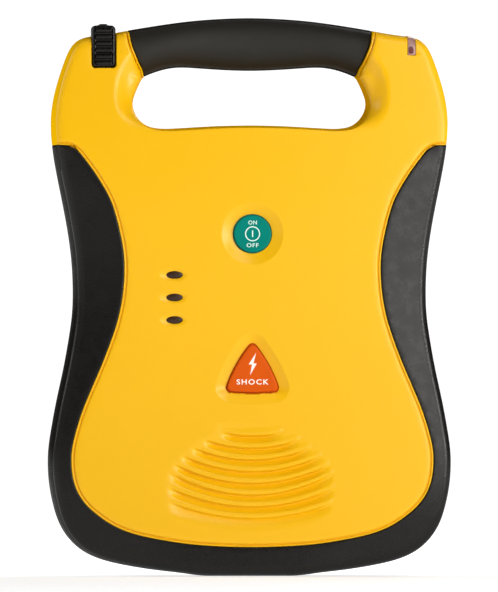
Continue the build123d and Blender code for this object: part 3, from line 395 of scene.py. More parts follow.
def boundary(T):
    """Directed edges that only one triangle has."""
    E = np.vstack([T[:, [0, 1]], T[:, [1, 2]], T[:, [2, 0]]])
    key = set(map(tuple, E.tolist()))
    return [(a, b) for a, b in key if (b, a) not in key]


def make_object(name, V, F, material, smooth_angle=38.0):
    me = bpy.data.meshes.new(name)
    me.from_pydata([tuple(v) for v in (np.array(V, float) * MM).tolist()], [], F)
    me.validate()
    me.update()
    me.shade_smooth()
    me.set_sharp_from_angle(angle=math.radians(smooth_angle))
    ob = bpy.data.objects.new(name, me)
    bpy.context.scene.collection.objects.link(ob)
    if material is not None:
        me.materials.append(material)
    return ob


def slab(name, top, bottom, top_h, bottom_h, material, sign=-1, lip=None, angle=38.0):
    """Closed solid between two height fields over the same outline.
    top and bottom are (points, triangles); heights are distances from the parting plane.
    lip(P) says which outline points get a relieved parting edge: (True, inward x, inward z)."""
    PT, TT = top
    PB, TB = bottom
    hT, hB = top_h(PT), bottom_h(PB)
    V = [np.column_stack([PT[:, 0], sign * hT, PT[:, 1]])]
    low = PB.copy()
    key = {tuple(k): i for i, k in enumerate(np.round(PT, 4).tolist())}
    faces = [tuple(t) if sign < 0 else tuple(t[::-1]) for t in TT.tolist()]
    offset_b = len(PT)
    B3 = np.column_stack([low[:, 0], sign * hB, low[:, 1]])
    V.append(B3)
    faces += [tuple(offset_b + i for i in (t[::-1] if sign < 0 else t)) for t in TB.tolist()]
    extra, extra_index = [], {}
    n = offset_b + len(PB)
    rim = boundary(TB)
    ends = sorted({i for e in rim for i in e})
    moved = {}
    if lip is not None:
        R = PB[ends]
        flag, ix, iz = lip(R)
        for j, i in enumerate(ends):
            if flag[j]:
                moved[i] = (ix[j], iz[j])
    for i, (dx, dz) in moved.items():
        x, z = PB[i]
        extra.append((x, sign * 0.75, z))
        extra_index[i] = n + len(extra) - 1
        B3[i, 0] += dx
        B3[i, 2] += dz
    missing = 0
    for a, b in rim:
        ka, kb = tuple(np.round(PB[a], 4).tolist()), tuple(np.round(PB[b], 4).tolist())
        if ka not in key or kb not in key:
            missing += 1
            continue
        ta, tb = key[ka], key[kb]
        if a in extra_index and b in extra_index:
            ma, mb = extra_index[a], extra_index[b]
            quads = [(ta, ma, mb, tb), (ma, offset_b + a, offset_b + b, mb)]
        else:
            quads = [(ta, offset_b + a, offset_b + b, tb)]
        for q in quads:
            faces.append(q if sign < 0 else q[::-1])
    if missing:
        print("slab", name, "unmatched rim edges", missing)
    if extra:
        V.append(np.array(extra))
    ob = make_object(name, np.vstack(V), faces, material, angle)
    print(name, "tris", sum(len(f) - 2 for f in faces))
    return ob


def cut_with(ob, cutter):
    """Takes cutter's space out of ob and removes the cutter."""
    before = len(ob.data.polygons)
    for solver in ("MANIFOLD", "EXACT"):
        m = ob.modifiers.new("cut", "BOOLEAN")
        m.operation, m.solver, m.object = "DIFFERENCE", solver, cutter
        bpy.context.view_layer.update()
        dg = bpy.context.evaluated_depsgraph_get()
        me = bpy.data.meshes.new_from_object(ob.evaluated_get(dg))
        ob.modifiers.remove(m)
        if len(me.polygons) != before:
            break
    old = ob.data
    ob.data = me
    bpy.data.meshes.remove(old)
    me.name = ob.name
    me.shade_smooth()
    me.set_sharp_from_angle(angle=math.radians(38))
    print("cut", ob.name, before, "->", len(me.polygons))
    bpy.data.objects.remove(cutter)


def prism(name, loop, lo, hi, axis, material=None):
    """Straight block with the given outline. axis x: loop is (y, z); axis y: (x, z); axis z: (x, y)."""
    n = len(loop)
    V = []
    for t in (lo, hi):
        for a, b in loop:
            V.append({"x": (t, a, b), "y": (a, t, b), "z": (a, b, t)}[axis])
    F = [tuple(range(n))[::-1], tuple(range(n, 2 * n))]
    F += [(i, (i + 1) % n, n + (i + 1) % n, n + i) for i in range(n)]
    ob = make_object(name, V, F, material)
    bm = bmesh.new()
    bm.from_mesh(ob.data)
    bmesh.ops.recalc_face_normals(bm, faces=bm.faces)
    bm.to_mesh(ob.data)
    bm.free()
    return ob


def lathe(name, profile_rh, centre, material, n=96, sign=-1, angle=38.0):
    """Closed turned solid about an axis along Y. profile_rh runs from the axis outwards and back."""
    x0, z0 = centre
    V, F, rings = [], [], []
    for r, h in profile_rh:
        if r < 1e-6:
            rings.append([len(V)])
            V.append((x0, sign * h, z0))
        else:
            rings.append(list(range(len(V), len(V) + n)))
            for k in range(n):
                a = 2 * math.pi * k / n
                V.append((x0 + r * math.cos(a), sign * h, z0 + r * math.sin(a)))
    for A, B in zip(rings, rings[1:]):
        for k in range(n):
            k2 = (k + 1) % n
            if len(A) == 1:
                F.append((A[0], B[k], B[k2]))
            elif len(B) == 1:
                F.append((A[k], B[0], A[k2]))
            else:
                F.append((A[k], B[k], B[k2], A[k2]))
    ob = make_object(name, V, F, material, angle)
    bm = bmesh.new()
    bm.from_mesh(ob.data)
    bmesh.ops.recalc_face_normals(bm, faces=bm.faces)
    bm.to_mesh(ob.data)
    bm.free()
    ob.data.set_sharp_from_angle(angle=math.radians(angle))
    return ob


# ------------------------------------------------------------------ materials
def srgb(r, g, b):
    """Linear colour from 0-255 display values."""
    def f(c):
        c /= 255.0
        return c / 12.92 if c <= 0.04045 else ((c + 0.055) / 1.055) ** 2.4
    return (f(r), f(g), f(b), 1.0)


def tint(c, k):
    return tuple(min(1.0, max(0.0, v * k)) for v in c[:3]) + (1.0,)


def material(name, colour, rough=0.4, spread=0.05, rough_spread=0.06, spot=40.0, grain=1500.0,
             bump=0.05, bump_mm=0.05, metallic=0.0, specular=None, coat=None, coat_rough=None,
             transmission=None, ior=None, alt=None, alt_scale=None, stretch=None, emission=None,
             sheen=None, pattern="noise", detail=4.0, graze=None):
    """Procedural material: two scales of colour change, uneven gloss and a fine surface texture."""
    m = bpy.data.materials.new(name)
    m.use_nodes = True
    nt = m.node_tree
    bsdf = nt.nodes["Principled BSDF"]
    out = nt.nodes["Material Output"]
    for n in list(nt.nodes):
        if n not in (bsdf, out):
            nt.nodes.remove(n)
    N, L = nt.nodes.new, nt.links.new
    coords = N("ShaderNodeTexCoord")
    src = coords.outputs["Object"]
    if stretch is not None:
        mapping = N("ShaderNodeMapping")
        mapping.inputs["Scale"].default_value = stretch
        L(src, mapping.inputs["Vector"])
        src = mapping.outputs["Vector"]
    big = N("ShaderNodeTexNoise")
    big.inputs["Scale"].default_value = alt_scale or spot
    big.inputs["Detail"].default_value = detail
    L(src, big.inputs["Vector"])
    ramp = N("ShaderNodeValToRGB")
    ramp.color_ramp.elements[0].position, ramp.color_ramp.elements[1].position = 0.3, 0.7
    ramp.color_ramp.elements[0].color = tint(colour, 1 - spread)
    ramp.color_ramp.elements[1].color = alt if alt is not None else tint(colour, 1 + spread)
    L(big.outputs["Fac"], ramp.inputs["Fac"])
    L(ramp.outputs["Color"], bsdf.inputs["Base Color"])
    if pattern == "noise":
        fine = N("ShaderNodeTexNoise")
        fine.inputs["Scale"].default_value = grain
        fine.inputs["Detail"].default_value = 3.0
        fine_out = fine.outputs["Fac"]
    else:
        fine = N("ShaderNodeTexVoronoi")
        fine.inputs["Scale"].default_value = grain
        fine_out = fine.outputs["Distance"]
    L(src, fine.inputs["Vector"])
    mid = N("ShaderNodeTexNoise")
    mid.inputs["Scale"].default_value = spot * 6
    mid.inputs["Detail"].default_value = 5.0
    L(src, mid.inputs["Vector"])
    rr = N("ShaderNodeMapRange")
    rr.inputs["From Min"].default_value, rr.inputs["From Max"].default_value = 0.3, 0.7
    rr.inputs["To Min"].default_value = max(0.02, rough - rough_spread)
    rr.inputs["To Max"].default_value = min(1.0, rough + rough_spread)
    L(mid.outputs["Fac"], rr.inputs["Value"])
    L(rr.outputs["Result"], bsdf.inputs["Roughness"])
    bp = N("ShaderNodeBump")
    bp.inputs["Strength"].default_value = bump
    bp.inputs["Distance"].default_value = bump_mm * MM
    L(fine_out, bp.inputs["Height"])
    L(bp.outputs["Normal"], bsdf.inputs["Normal"])
    bsdf.inputs["Metallic"].default_value = metallic
    if specular is not None:
        bsdf.inputs["Specular IOR Level"].default_value = specular
    if graze is not None:
        # painted shade: the specular level falls to graze on walls seen edge-on, so they lose the sheen they would show
        # and look darker
        facing = N("ShaderNodeLayerWeight")
        facing.inputs["Blend"].default_value = 0.5
        level = N("ShaderNodeMapRange")
        level.inputs["From Min"].default_value, level.inputs["From Max"].default_value = 0.42, 0.76
        level.inputs["To Min"].default_value, level.inputs["To Max"].default_value = specular, graze
        L(facing.outputs["Facing"], level.inputs["Value"])
        L(level.outputs["Result"], bsdf.inputs["Specular IOR Level"])
    if coat is not None:
        bsdf.inputs["Coat Weight"].default_value = coat
        bsdf.inputs["Coat Roughness"].default_value = coat_rough or 0.1
    if transmission is not None:
        bsdf.inputs["Transmission Weight"].default_value = transmission
    if ior is not None:
        bsdf.inputs["IOR"].default_value = ior
    if sheen is not None:
        bsdf.inputs["Sheen Weight"].default_value = sheen
    if emission is not None:
        bsdf.inputs["Emission Color"].default_value = emission[0]
        bsdf.inputs["Emission Strength"].default_value = emission[1]
    return m


YELLOW = material("yellow_abs", (0.832, 0.453, 0.0010, 1), rough=0.30, spread=0.010, rough_spread=0.015,
                  spot=14, grain=2600, bump=0.10, bump_mm=0.03, specular=0.33, graze=0.0)
RUBBER = material("bumper_tpe", (0.0042, 0.0036, 0.0027, 1), rough=0.28, spread=0.18, rough_spread=0.04,
                  spot=30, grain=1500, bump=0.35, bump_mm=0.06, specular=0.26, graze=0.0004, pattern="voronoi")
GRIP = material("grip_tpe", (0.014, 0.0125, 0.0095, 1), rough=0.56, spread=0.15, rough_spread=0.05,
                spot=22, grain=1700, bump=0.22, bump_mm=0.05, specular=0.26, graze=0.0)
GREEN = material("green_cap", (0.0004, 0.196, 0.155, 1), rough=0.40, spread=0.04, rough_spread=0.04, spot=60,
                 grain=3000, bump=0.08, bump_mm=0.02, specular=0.05)
RED = material("shock_cap", (0.64, 0.088, 0.0008, 1), rough=0.42, spread=0.05, rough_spread=0.05, spot=70,
               grain=3000, bump=0.08, bump_mm=0.02, specular=0.10)
MARK = material("mark_ink", srgb(214, 243, 232), rough=0.5, spread=0.03, spot=300, grain=4000, bump=0.05)
MARK_W = material("mark_ink_warm", srgb(255, 236, 226), rough=0.5, spread=0.03, spot=300, grain=4000,
                  bump=0.05)
INK = material("dark_ink", srgb(70, 46, 8), rough=0.5, spread=0.08, spot=300, grain=4000, bump=0.05)
LENS = material("lamp_lens", srgb(50, 30, 12), rough=0.3, spread=0.2, rough_spread=0.04, spot=220,
                grain=2500, bump=0.04, specular=0.3)
WINDOW = material("window_clear", srgb(214, 168, 160), rough=0.22, spread=0.08, rough_spread=0.05,
                  spot=260, grain=2500, bump=0.05, transmission=0.45, ior=1.49)
LAMP = material("status_lamp", srgb(92, 32, 34), rough=0.25, spread=0.15, spot=400, grain=2500, bump=0.05)
PLUG = material("plug_plastic", (0.0028, 0.0022, 0.0020, 1), rough=0.26, spread=0.2, rough_spread=0.06,
                spot=80, grain=2200, bump=0.12, bump_mm=0.03, specular=0.3)
FINISH = {
    "yellow_shell": YELLOW, "black_rubber": RUBBER, "grip_rubber": GRIP, "green_button": GREEN,
    "shock_red": RED, "lens_dark": LENS, "window_clear": WINDOW, "black_plastic": PLUG,
    "matt_black": material("matt_black", (0.012, 0.012, 0.013, 1), rough=0.62, spread=0.2, spot=60,
                           grain=1200, bump=0.3, bump_mm=0.08),
    "silicone": material("silicone", (0.55, 0.55, 0.52, 1), rough=0.55, spread=0.05, spot=80,
                         grain=900, bump=0.15, transmission=0.1),
    "screw_steel": material("screw_steel", (0.46, 0.45, 0.43, 1), rough=0.32, spread=0.12, spot=300,
                            grain=2400, bump=0.2, bump_mm=0.02, metallic=1.0),
    "gold_contact": material("gold_contact", (0.85, 0.58, 0.22, 1), rough=0.25, spread=0.08, spot=300,
                             grain=2400, bump=0.1, metallic=1.0),
    "circuit_board": material("circuit_board", (0.012, 0.11, 0.045, 1), rough=0.35, spread=0.35,
                              spot=160, grain=700, bump=0.25, bump_mm=0.08, coat=0.3, detail=9,
                              pattern="voronoi"),
    "chip_black": material("chip_black", (0.016, 0.016, 0.018, 1), rough=0.5, spread=0.2, spot=200,
                           grain=2600, bump=0.25),
    "connector_white": material("connector_white", (0.72, 0.70, 0.64, 1), rough=0.42, spread=0.04,
                                spot=120, grain=1800, bump=0.1),
    "led_amber": material("led_amber", (0.55, 0.26, 0.10, 1), rough=0.2, spread=0.1, spot=300,
                          grain=2000, bump=0.05, transmission=0.3),
    "capacitor_can": material("capacitor_can", (0.03, 0.05, 0.14, 1), rough=0.3, spread=0.15, spot=60,
                              grain=1500, bump=0.1, coat=0.4),
    "clamp_steel": material("clamp_steel", (0.5, 0.5, 0.5, 1), rough=0.38, spread=0.1, spot=150,
                            grain=1600, bump=0.25, metallic=1.0, stretch=(1, 12, 1)),
    "ferrite": material("ferrite", (0.045, 0.04, 0.038, 1), rough=0.58, spread=0.2, spot=120,
                        grain=1000, bump=0.4, bump_mm=0.1),
    "copper_winding": material("copper_winding", (0.62, 0.24, 0.08, 1), rough=0.3, spread=0.25,
                               spot=90, grain=1800, bump=0.6, bump_mm=0.2, metallic=0.8,
                               stretch=(1, 1, 9)),
    "heat_aluminium": material("heat_aluminium", (0.62, 0.63, 0.65, 1), rough=0.4, spread=0.08,
                               spot=200, grain=1500, bump=0.3, metallic=1.0, stretch=(1, 8, 1)),
    "speaker_steel": material("speaker_steel", (0.36, 0.36, 0.37, 1), rough=0.42, spread=0.12,
                              spot=100, grain=1400, bump=0.2, metallic=1.0),
    "speaker_paper": material("speaker_paper", (0.03, 0.028, 0.026, 1), rough=0.85, spread=0.3,
                              spot=250, grain=700, bump=0.6, bump_mm=0.2),
    "acoustic_mesh": material("acoustic_mesh", (0.02, 0.02, 0.02, 1), rough=0.8, spread=0.25,
                              spot=300, grain=900, bump=0.8, bump_mm=0.2, pattern="voronoi"),
    "battery_plastic": material("battery_plastic", (0.90, 0.49, 0.002, 1), rough=0.4, spread=0.03,
                                rough_spread=0.05, spot=20, grain=2200, bump=0.15, bump_mm=0.04,
                                specular=0.34, graze=0.0),
    "cell_wrap": material("cell_wrap", (0.05, 0.16, 0.34, 1), rough=0.28, spread=0.12, spot=60,
                          grain=1400, bump=0.1, coat=0.3),
    "wire_red": material("wire_red", (0.5, 0.02, 0.015, 1), rough=0.4, spread=0.1, spot=200,
                         grain=1600, bump=0.1),
    "label_grey": material("label_grey", (0.58, 0.58, 0.57, 1), rough=0.48, spread=0.03, spot=40,
                           grain=2200, bump=0.06),
}
node_slot = {s["node"]: s["material_slot"] for s in frame["record"]["subparts"]}


# ------------------------------------------------------------------ features of the show face
bar_top_r = spline([(68.0, 288.0), (48.0, 291.6), (26.0, 294.2), (0.0, 295.2)], (-6, 1.1), (-1, 0))[::-1]
on_bore = circle(0, BUTTON_Z, 10.6, 96)
shock_bore = shock_outline(0.3)
lens_holes = [circle(LAMP_X, z, LAMP_SIZE[0] / 2, 48, LAMP_SIZE[1] / 2) for z in LAMP_Z]
notch = rounded_box(PLUG_X - 6.7, PLUG_X + 6.7, 273.0, 305.0, 2.1, 0.5, (1, 1, 0, 0))
notch_in = rounded_box(PLUG_X - 6.65, PLUG_X + 6.65, 273.05, 305.0, 2.05, 0.5, (1, 1, 0, 0))
seat = rounded_box(WINDOW_X - 2.2, WINDOW_X + 2.2, 279.9, 305.0, 1.0, 0.4, (1, 1, 0, 0))
seat_in = rounded_box(WINDOW_X - 2.15, WINDOW_X + 2.15, 279.95, 305.0, 0.95, 0.4, (1, 1, 0, 0))
scoop_edge = spline([(58.0, 293.0), (62.6, 286.0), (66.6, 280.2), (71.6, 272.0), (73.9, 262.0),
                     (73.2, 252.5), (70.0, 244.8), (64.0, 238.8), (54.0, 235.6), (40.0, 235.0)], step=0.4)
D_scoop = Dist(scoop_edge)
scoop_area = np.vstack([scoop_edge, [[40.0, 300.0]]])
D_shock = Dist(shock_bore, True)
D_notch = Dist(notch, True)
D_seat = Dist(seat, True)

PANEL_P = [0.0, 0.06, 0.2, 0.38, 0.55, 0.75, 0.95, 1.1, 1.22, 1.55, 1.66, 1.85, 2.1, 2.5]
PANEL_V = [-1.0, -0.42, -0.16, -0.02, 0.0, -0.08, -0.28, -0.62, -1.0, -1.0, -0.55, -0.26, -0.08, 0.0]
COLLAR_P = [0.0, 0.15, 0.45, 0.8, 1.0, 1.06, 1.5, 1.56, 1.7, 2.0, 2.5, 3.0]
COLLAR_V = [-1.5, -1.05, -0.85, -0.92, -1.3, -2.3, -2.3, -1.0, -0.6, -0.28, -0.07, 0.0]


def crown(x):
    """Fall of the front face towards the sides."""
    return 2.2 * (np.abs(x) / 105.0) ** 2


def fall(P, dp):
    """The overmould leans back towards the sides of the case."""
    return BUMPER_FALL * np.maximum(dp, 0) * smooth(25, 75, np.abs(P[:, 0]))


def louvre_relief(P):
    """Height change of the sound louvres: blades that step back under their lower edges."""
    x, z = P[:, 0], P[:, 1]
    lines = [zc + rise * (x / half) ** 2 for half, zc, rise in LOUVRES]
    out = np.zeros(len(P))
    n = len(LOUVRES)
    for k in range(n):
        half = LOUVRES[k][0]
        left = smooth(-half - 1.5, -half + 6.0, x)
        e = left * (1 - smooth(half - 11, half + 0.5, x))
        t = lines[k] - z                                   # distance below line k
        if k < n - 1:
            room = np.maximum(lines[k] - lines[k + 1], 4.0)
            s = t * 6.3 / room
            cut = np.interp(s, [-0.01, 0.0, 0.25, 0.6, 0.95, 1.3, 1.7, 2.8, 3.3, 3.7, 4.2, 5.0],
                            [0, -0.5, -1.1, -1.85, -2.4, -2.5, -2.3, -1.4, -0.9, -0.45, -0.12, 0])
        else:
            cut = np.interp(t, [-0.01, 0.0, 0.25, 0.6, 0.95, 1.3, 1.7, 3.2, 5.0, 7.0],
                            [0, -0.5, -1.0, -1.55, -1.8, -1.75, -1.5, -0.75, -0.2, 0])
        out += np.where(t >= 0, cut * e, 0)
        up = z - lines[k]                                  # the blade above line k
        edge = left * (1 - smooth(half - 11, half + 0.5, x))
        out += np.where(up >= 0, np.interp(up, [0, 0.18, 0.5, 1.0, 1.6], [-0.5, -0.26, -0.1, -0.025, 0]) * edge, 0)
        proud = 0.45 * smooth(half - 34, half - 14, x) * (1 - 0.45 * smooth(half - 14, half - 2, x)) \
            * (1 - smooth(half - 2.6, half + 0.3, x))
        out += np.where(up >= 0, np.interp(up, [0, 0.25, 0.6, 1.3, 2.1, 3.1, 3.9], [0.55, 0.8, 0.97, 1.0, 0.85, 0.3, 0]) * proud, 0)
    # the left ends of the blades sink into the panel
    zs = np.array([l[1] for l in LOUVRES])[::-1]
    hs = np.array([l[0] for l in LOUVRES])[::-1]
    zz = z - 7.0 * (x / 44.0) ** 2
    half = np.interp(zz, zs, hs)
    inband = smooth(25, 29, zz) * (1 - smooth(79.5, 82, zz))
    w = x + half
    out += -0.4 * smooth(-4.5, 2.5, w) * (1 - smooth(4, 28, w)) * inband
    return out


def relief(P, front):
    """Height of the moulded yellow shell above the parting plane."""
    Q = folded(P)
    x, z = P[:, 0], P[:, 1]
    dc, dp, do, dge = D_contour(Q), panel_distance(Q), D_opening(Q), D_gripend(Q)
    base = half_depth(z) - (SHIFT if front else 0.1) - crown(x)
    h = base.copy()
    x_end = np.interp(z, grip_end_r[:, 1], grip_end_r[:, 0])
    tower = (z > 268.2) & (Q[:, 0] >= x_end - 0.02)
    bar = (z > 268.2) & ~tower
    # scoops beside the handle opening
    hole = np.where(z > 268.2, dge, do)
    ds = D_scoop(Q)
    in_scoop = inside(scoop_area, Q)
    fade = smooth(237.5, 256, z) * (1 - 0.35 * smooth(272, 290, z))
    drop = fade * (4.0 * smooth(-0.6, 8.6, ds) + 0.10 * np.maximum(ds - 1.5, 0))
    h -= np.where(in_scoop, drop, 0)
    # rims
    h -= round_off(dc, EDGE_R)
    rim = 2.2 + ((7.5 if front else 11.0) - 2.2) * smooth(240.5, 250, z)
    h -= np.where(z < 268.2, round_off(do, rim), 0)
    h -= np.where(tower, (1 - smooth(268.2, 281.0, z)) * round_off(dge, rim), 0)
    h += np.where(tower, np.interp(dge, COLLAR_P, COLLAR_V), 0)
    if front:
        r = np.hypot(x, z - BUTTON_Z)
        t = np.clip((r - 10.6) / 6.0, 0, 1)
        h -= np.where(r < 16.6, 2.15 * (1 - t ** 1.3), 0)
        dt = D_shock(P)
        t = np.clip(dt / 5.4, 0, 1)
        low = 1 - 0.55 * smooth(101, 97, z)
        h -= np.where(inside(shock_bore, P), 2.15, 2.15 * (1 - t ** 1.3) * low)
        for zl in LAMP_Z:
            q = np.hypot((x - LAMP_X + 0.6) / 7.9, (z - zl) / 3.6)
            h -= 0.95 * (1 - smooth(0.45, 1.0, q))
        h += louvre_relief(P)
    else:
        rec = smooth_box(P, 0.0, 169.0, 60.0, 63.0, 6.0)
        h = np.where(rec < 0.4, np.minimum(h, np.interp(rec, [-0.35, 0.0, 0.4], [27.0, 33.4, 40.0])), h)
        h -= np.where(rec > 0, round_off(rec, 0.9), 0)
        lab = smooth_box(P, 0.0, 62.0, 45.1, 28.1, 3.1)
        h -= np.interp(lab, [-0.06, 0.0, 0.3], [0.5, 0.12, 0.0])
    # step down under the overmould, with the lip and groove beside it
    h = draft(h, dc, 1.25)
    h = np.where(z < 268.2, draft(h, do, 1.5), h)
    under = half_depth(z) - 2.55 - crown(x) - fall(P, -dp) \
        - round_off(np.maximum(dc - 2.5, 0), EDGE_R - 2.5)
    h = np.where(dp < 2.5, h + np.interp(dp, PANEL_P, PANEL_V), h)
    h = np.where(dp < 0.05, np.where(dp < -0.0, under, under + (h - under) * np.clip(dp / 0.05, 0, 1)), h)
    h = np.where(dp <= 0, np.minimum(under, h), h)
    h = np.where(bar, 10.8, h)
    if front:
        dn, dse = D_notch(P), D_seat(P)
        inn, ins = inside(notch, P), inside(seat, P)
        h = np.where(inn, np.where(dn > 0.045, 7.3, 7.3 + (h - 7.3) * np.clip(1 - dn / 0.045, 0, 1)), h)
        h = np.where(~inn & (dn < 0.7), h - round_off(dn, 0.5), h)
        h = np.where(ins, np.where(dse > 0.045, 14.0, 14.0 + (h - 14.0) * np.clip(1 - dse / 0.045, 0, 1)), h)
        h = np.where(~ins & (dse < 0.5), h - round_off(dse, 0.3), h)
    else:
        for sx, sz in CASE_SCREWS:
            r = np.hypot(x - sx, z - sz)
            h = np.where(r < 3.25, np.minimum(h, np.interp(r, [3.15, 3.25], [4.0, 40.0])), h)
            h -= np.where((r >= 3.2) & (r < 3.9), round_off(r - 3.2, 0.6), 0)
    return h


def smooth_box(P, cx, cz, hx, hz, r):
    """Signed distance to a rounded rectangle, negative inside."""
    qx, qz = np.abs(P[:, 0] - cx) - hx + r, np.abs(P[:, 1] - cz) - hz + r
    return np.hypot(np.maximum(qx, 0), np.maximum(qz, 0)) + np.minimum(np.maximum(qx, qz), 0) - r


# ------------------------------------------------------------------ outlines of the pieces
def cut_below(line, z):
    """The part of the line under height z, ended on it. The line rises."""
    i = int(np.argmax(line[:, 1] > z))
    a, b = line[i - 1], line[i]
    t = (z - a[1]) / (b[1] - a[1])
    return np.vstack([line[:i], [a + t * (b - a)]])


def cut_above(line, z):
    i = int(np.argmax(line[:, 1] > z))
    a, b = line[i - 1], line[i]
    t = (z - a[1]) / (b[1] - a[1])
    return np.vstack([[a + t * (b - a)], line[i:]])


def both_sides(right):
    """Closed loop from a right-hand chain that starts and ends on the middle line."""
    left = mirrored(right)
    return np.vstack([right, left[1:-1]])


def add_at_x(line, xs):
    """Adds points at the given x on the upper part of a rising line that runs inwards there."""
    line = line.copy()
    for xx in xs:
        for i in range(len(line) - 1, 0, -1):
            a, b = line[i - 1], line[i]
            if a[1] > 280 and (a[0] - xx) * (b[0] - xx) < 0:
                t = (xx - a[0]) / (b[0] - a[0])
                line = np.vstack([line[:i], [a + t * (b - a)], line[i:]])
                break
    return line


GAP_TOP = 231.75
under_r = offset(contour_r, 2.5)
x_end_at = lambda z: np.interp(z, grip_end_r[:, 1], grip_end_r[:, 0])
meet_i = next(k for k in range(len(bar_top_r)) if bar_top_r[k, 0] > x_end_at(bar_top_r[k, 1]))
meet = bar_top_r[meet_i]
gx_top = resample(np.vstack([[meet], grip_end_r[grip_end_r[:, 1] > meet[1] + 0.2]]), 0.5)
contour_hi = cut_above(contour_r, GAP_TOP)
shell_right = np.vstack([
    resample(cut_below(under_r, GAP_TOP), 0.8),
    resample(contour_hi, 0.5),
    gx_top[::-1][1:],
    resample(bar_top_r[:meet_i], 1.0)[::-1][1:],
])
shell_right[0, 0] = 0.0
shell_right[-1, 0] = 0.0
front_right = shell_right
left_front = add_at_x(shell_right, [-(PLUG_X - 6.7), -(PLUG_X - 6.65), -(PLUG_X + 6.7), -(PLUG_X + 6.65)])
right_front = add_at_x(shell_right, [WINDOW_X - 2.2, WINDOW_X - 2.15, WINDOW_X + 2.2, WINDOW_X + 2.15])
front_loop = np.vstack([right_front, mirrored(left_front)[1:-1]])
rear_loop = both_sides(shell_right)
gx_low = grip_end_r[grip_end_r[:, 1] < 277.3]
hole_right = np.vstack([
    resample(opening_r, 0.6)[::-1],                        # middle of the lower edge up to the grip
    resample(np.vstack([gx_low[1:], [[x_end_at(277.5), 277.5]]]), 0.5),
    straight((x_end_at(277.5), 277.5), (0, 277.5), 1.5)[1:],
])
hole_right[0, 0] = 0.0
hole_loop = both_sides(hole_right)

bumper_contour = cut_below(contour_r, TOP_CUT)
bumper_edge = edge_r[edge_r[:, 0] < side_x - 0.4]
bumper_right = np.vstack([resample(bumper_contour, 0.7), resample(bumper_edge, 0.7)[::-1]])
bumper_right[0, 0] = 0.0
bumper_right[-1, 0] = 0.0
bumper_loop = both_sides(bumper_right)


def part_lip(amount, z_min):
    """Relief of the parting edge on the outer wall."""
    tree_line = resample(contour_r, 0.25)
    T = np.gradient(tree_line, axis=0)
    T /= np.linalg.norm(T, axis=1)[:, None]
    inward = np.column_stack([-T[:, 1], T[:, 0]])
    tree = KDTree(len(tree_line))
    for k, (x, z) in enumerate(tree_line):
        tree.insert((x, z, 0.0), k)
    tree.balance()

    def lip(P):
        Q = folded(P)
        found = [tree.find((x, z, 0.0)) for x, z in Q.tolist()]
        idx = np.array([f[1] for f in found])
        d = np.array([f[2] for f in found])
        flag = (d < 0.2) & (P[:, 1] > z_min) & (Q[:, 0] < 200)
        ix = inward[idx, 0] * np.sign(np.where(P[:, 0] == 0, 1, P[:, 0])) * amount
        ix = np.where(np.abs(P[:, 0]) < 1e-6, 0, ix)
        return flag, ix, inward[idx, 1] * amount
    return lip


# ------------------------------------------------------------------ point fields
def both(line):
    return [(line, False), (mirrored(line), False)]


def inner_lines(loop, clear=0.25):
    """Returns a function that keeps the stretches of a chain well inside the loop."""
    D = Dist(loop, True, 0.25)

    def keep(line, closed=False):
        ok = inside(loop, line) & (D(line) > clear)
        if ok.all():
            return [(line, closed)]
        if closed:
            if not ok.any():
                return []
            k = int(np.argmin(ok))
            line, ok = np.roll(line, -k, 0), np.roll(ok, -k)
        runs, start = [], None
        for j, v in enumerate(ok.tolist() + [False]):
            if v and start is None:
                start = j
            if not v and start is not None:
                if j - start > 1:
                    runs.append((line[start:j], False))
                start = None
        return runs
    return keep


def offsets_of(line, steps, step=0.9, closed=False, sides=True):
    out = []
    base = resample(line, step, closed)
    for d in steps:
        o = offset(base, d, closed)
        out.append((o, closed))
        if sides:
            out.append((mirrored(o), closed))
    return out


def grids(zones, lines, gap=0.45):
    """Hexagonal points: each zone is (spacing, test); the finest zone that takes a point has it."""
    chosen = []
    for k, (s, box, test) in enumerate(zones):
        G = hexgrid(box[0], box[1], box[2], box[3], s)
        ok = test(G)
        for s2, box2, test2 in zones[:k]:
            inb = ((G[:, 0] >= box2[0]) & (G[:, 0] <= box2[1]) & (G[:, 1] >= box2[2]) & (G[:, 1] <= box2[3]))
            idx = np.where(ok & inb)[0]
            if len(idx):
                ok[idx[test2(G[idx])]] = False
        G = G[ok]
        chosen.append(thin_out(G, lines, gap * s))
    return np.vstack(chosen)


everything = lambda P: np.ones(len(P), bool)


def louvre_zone(P):
    return ((P[:, 0] / 50.0) ** 2 + ((P[:, 1] - 50.0) / 36.0) ** 2 < 1.35) & (P[:, 1] > 21) & (P[:, 1] < 86)


def louvre_lines(keep):
    chains, pts = [], []
    for k, (half, zc, rise) in enumerate(LOUVRES):
        xs = np.hstack([np.linspace(-half - 1.2, half - 1.6, int((2 * half - 0.4) / 0.8)),
                        half + np.array([-1.2, -0.9, -0.6, -0.35, -0.1, 0.15, 0.45, 0.9])])
        zl = zc + rise * (xs / half) ** 2
        low = LOUVRES[k + 1] if k < len(LOUVRES) - 1 else None
        room = zl - (low[1] + low[2] * (xs / low[0]) ** 2) if low else np.full(len(xs), 6.3)
        room = np.clip(room, 4.0, 9)
        for t in (0.0, 0.25, 0.6, 0.95, 1.3):
            chains.append((np.column_stack([xs, zl - t * room / 6.3]), False))
        for s in (1.7, 2.25, 2.8, 3.05, 3.3, 3.7, 4.2, 4.6, 5.0):
            if low is None and s in (3.05, 3.3, 3.7):
                continue
            pts.append(np.column_stack([xs, zl - s * room / 6.3]))
        for up in (0.18, 0.5, 0.85, 1.2):
            pts.append(np.column_stack([xs, zl + up]))
    return chains, np.vstack(pts)


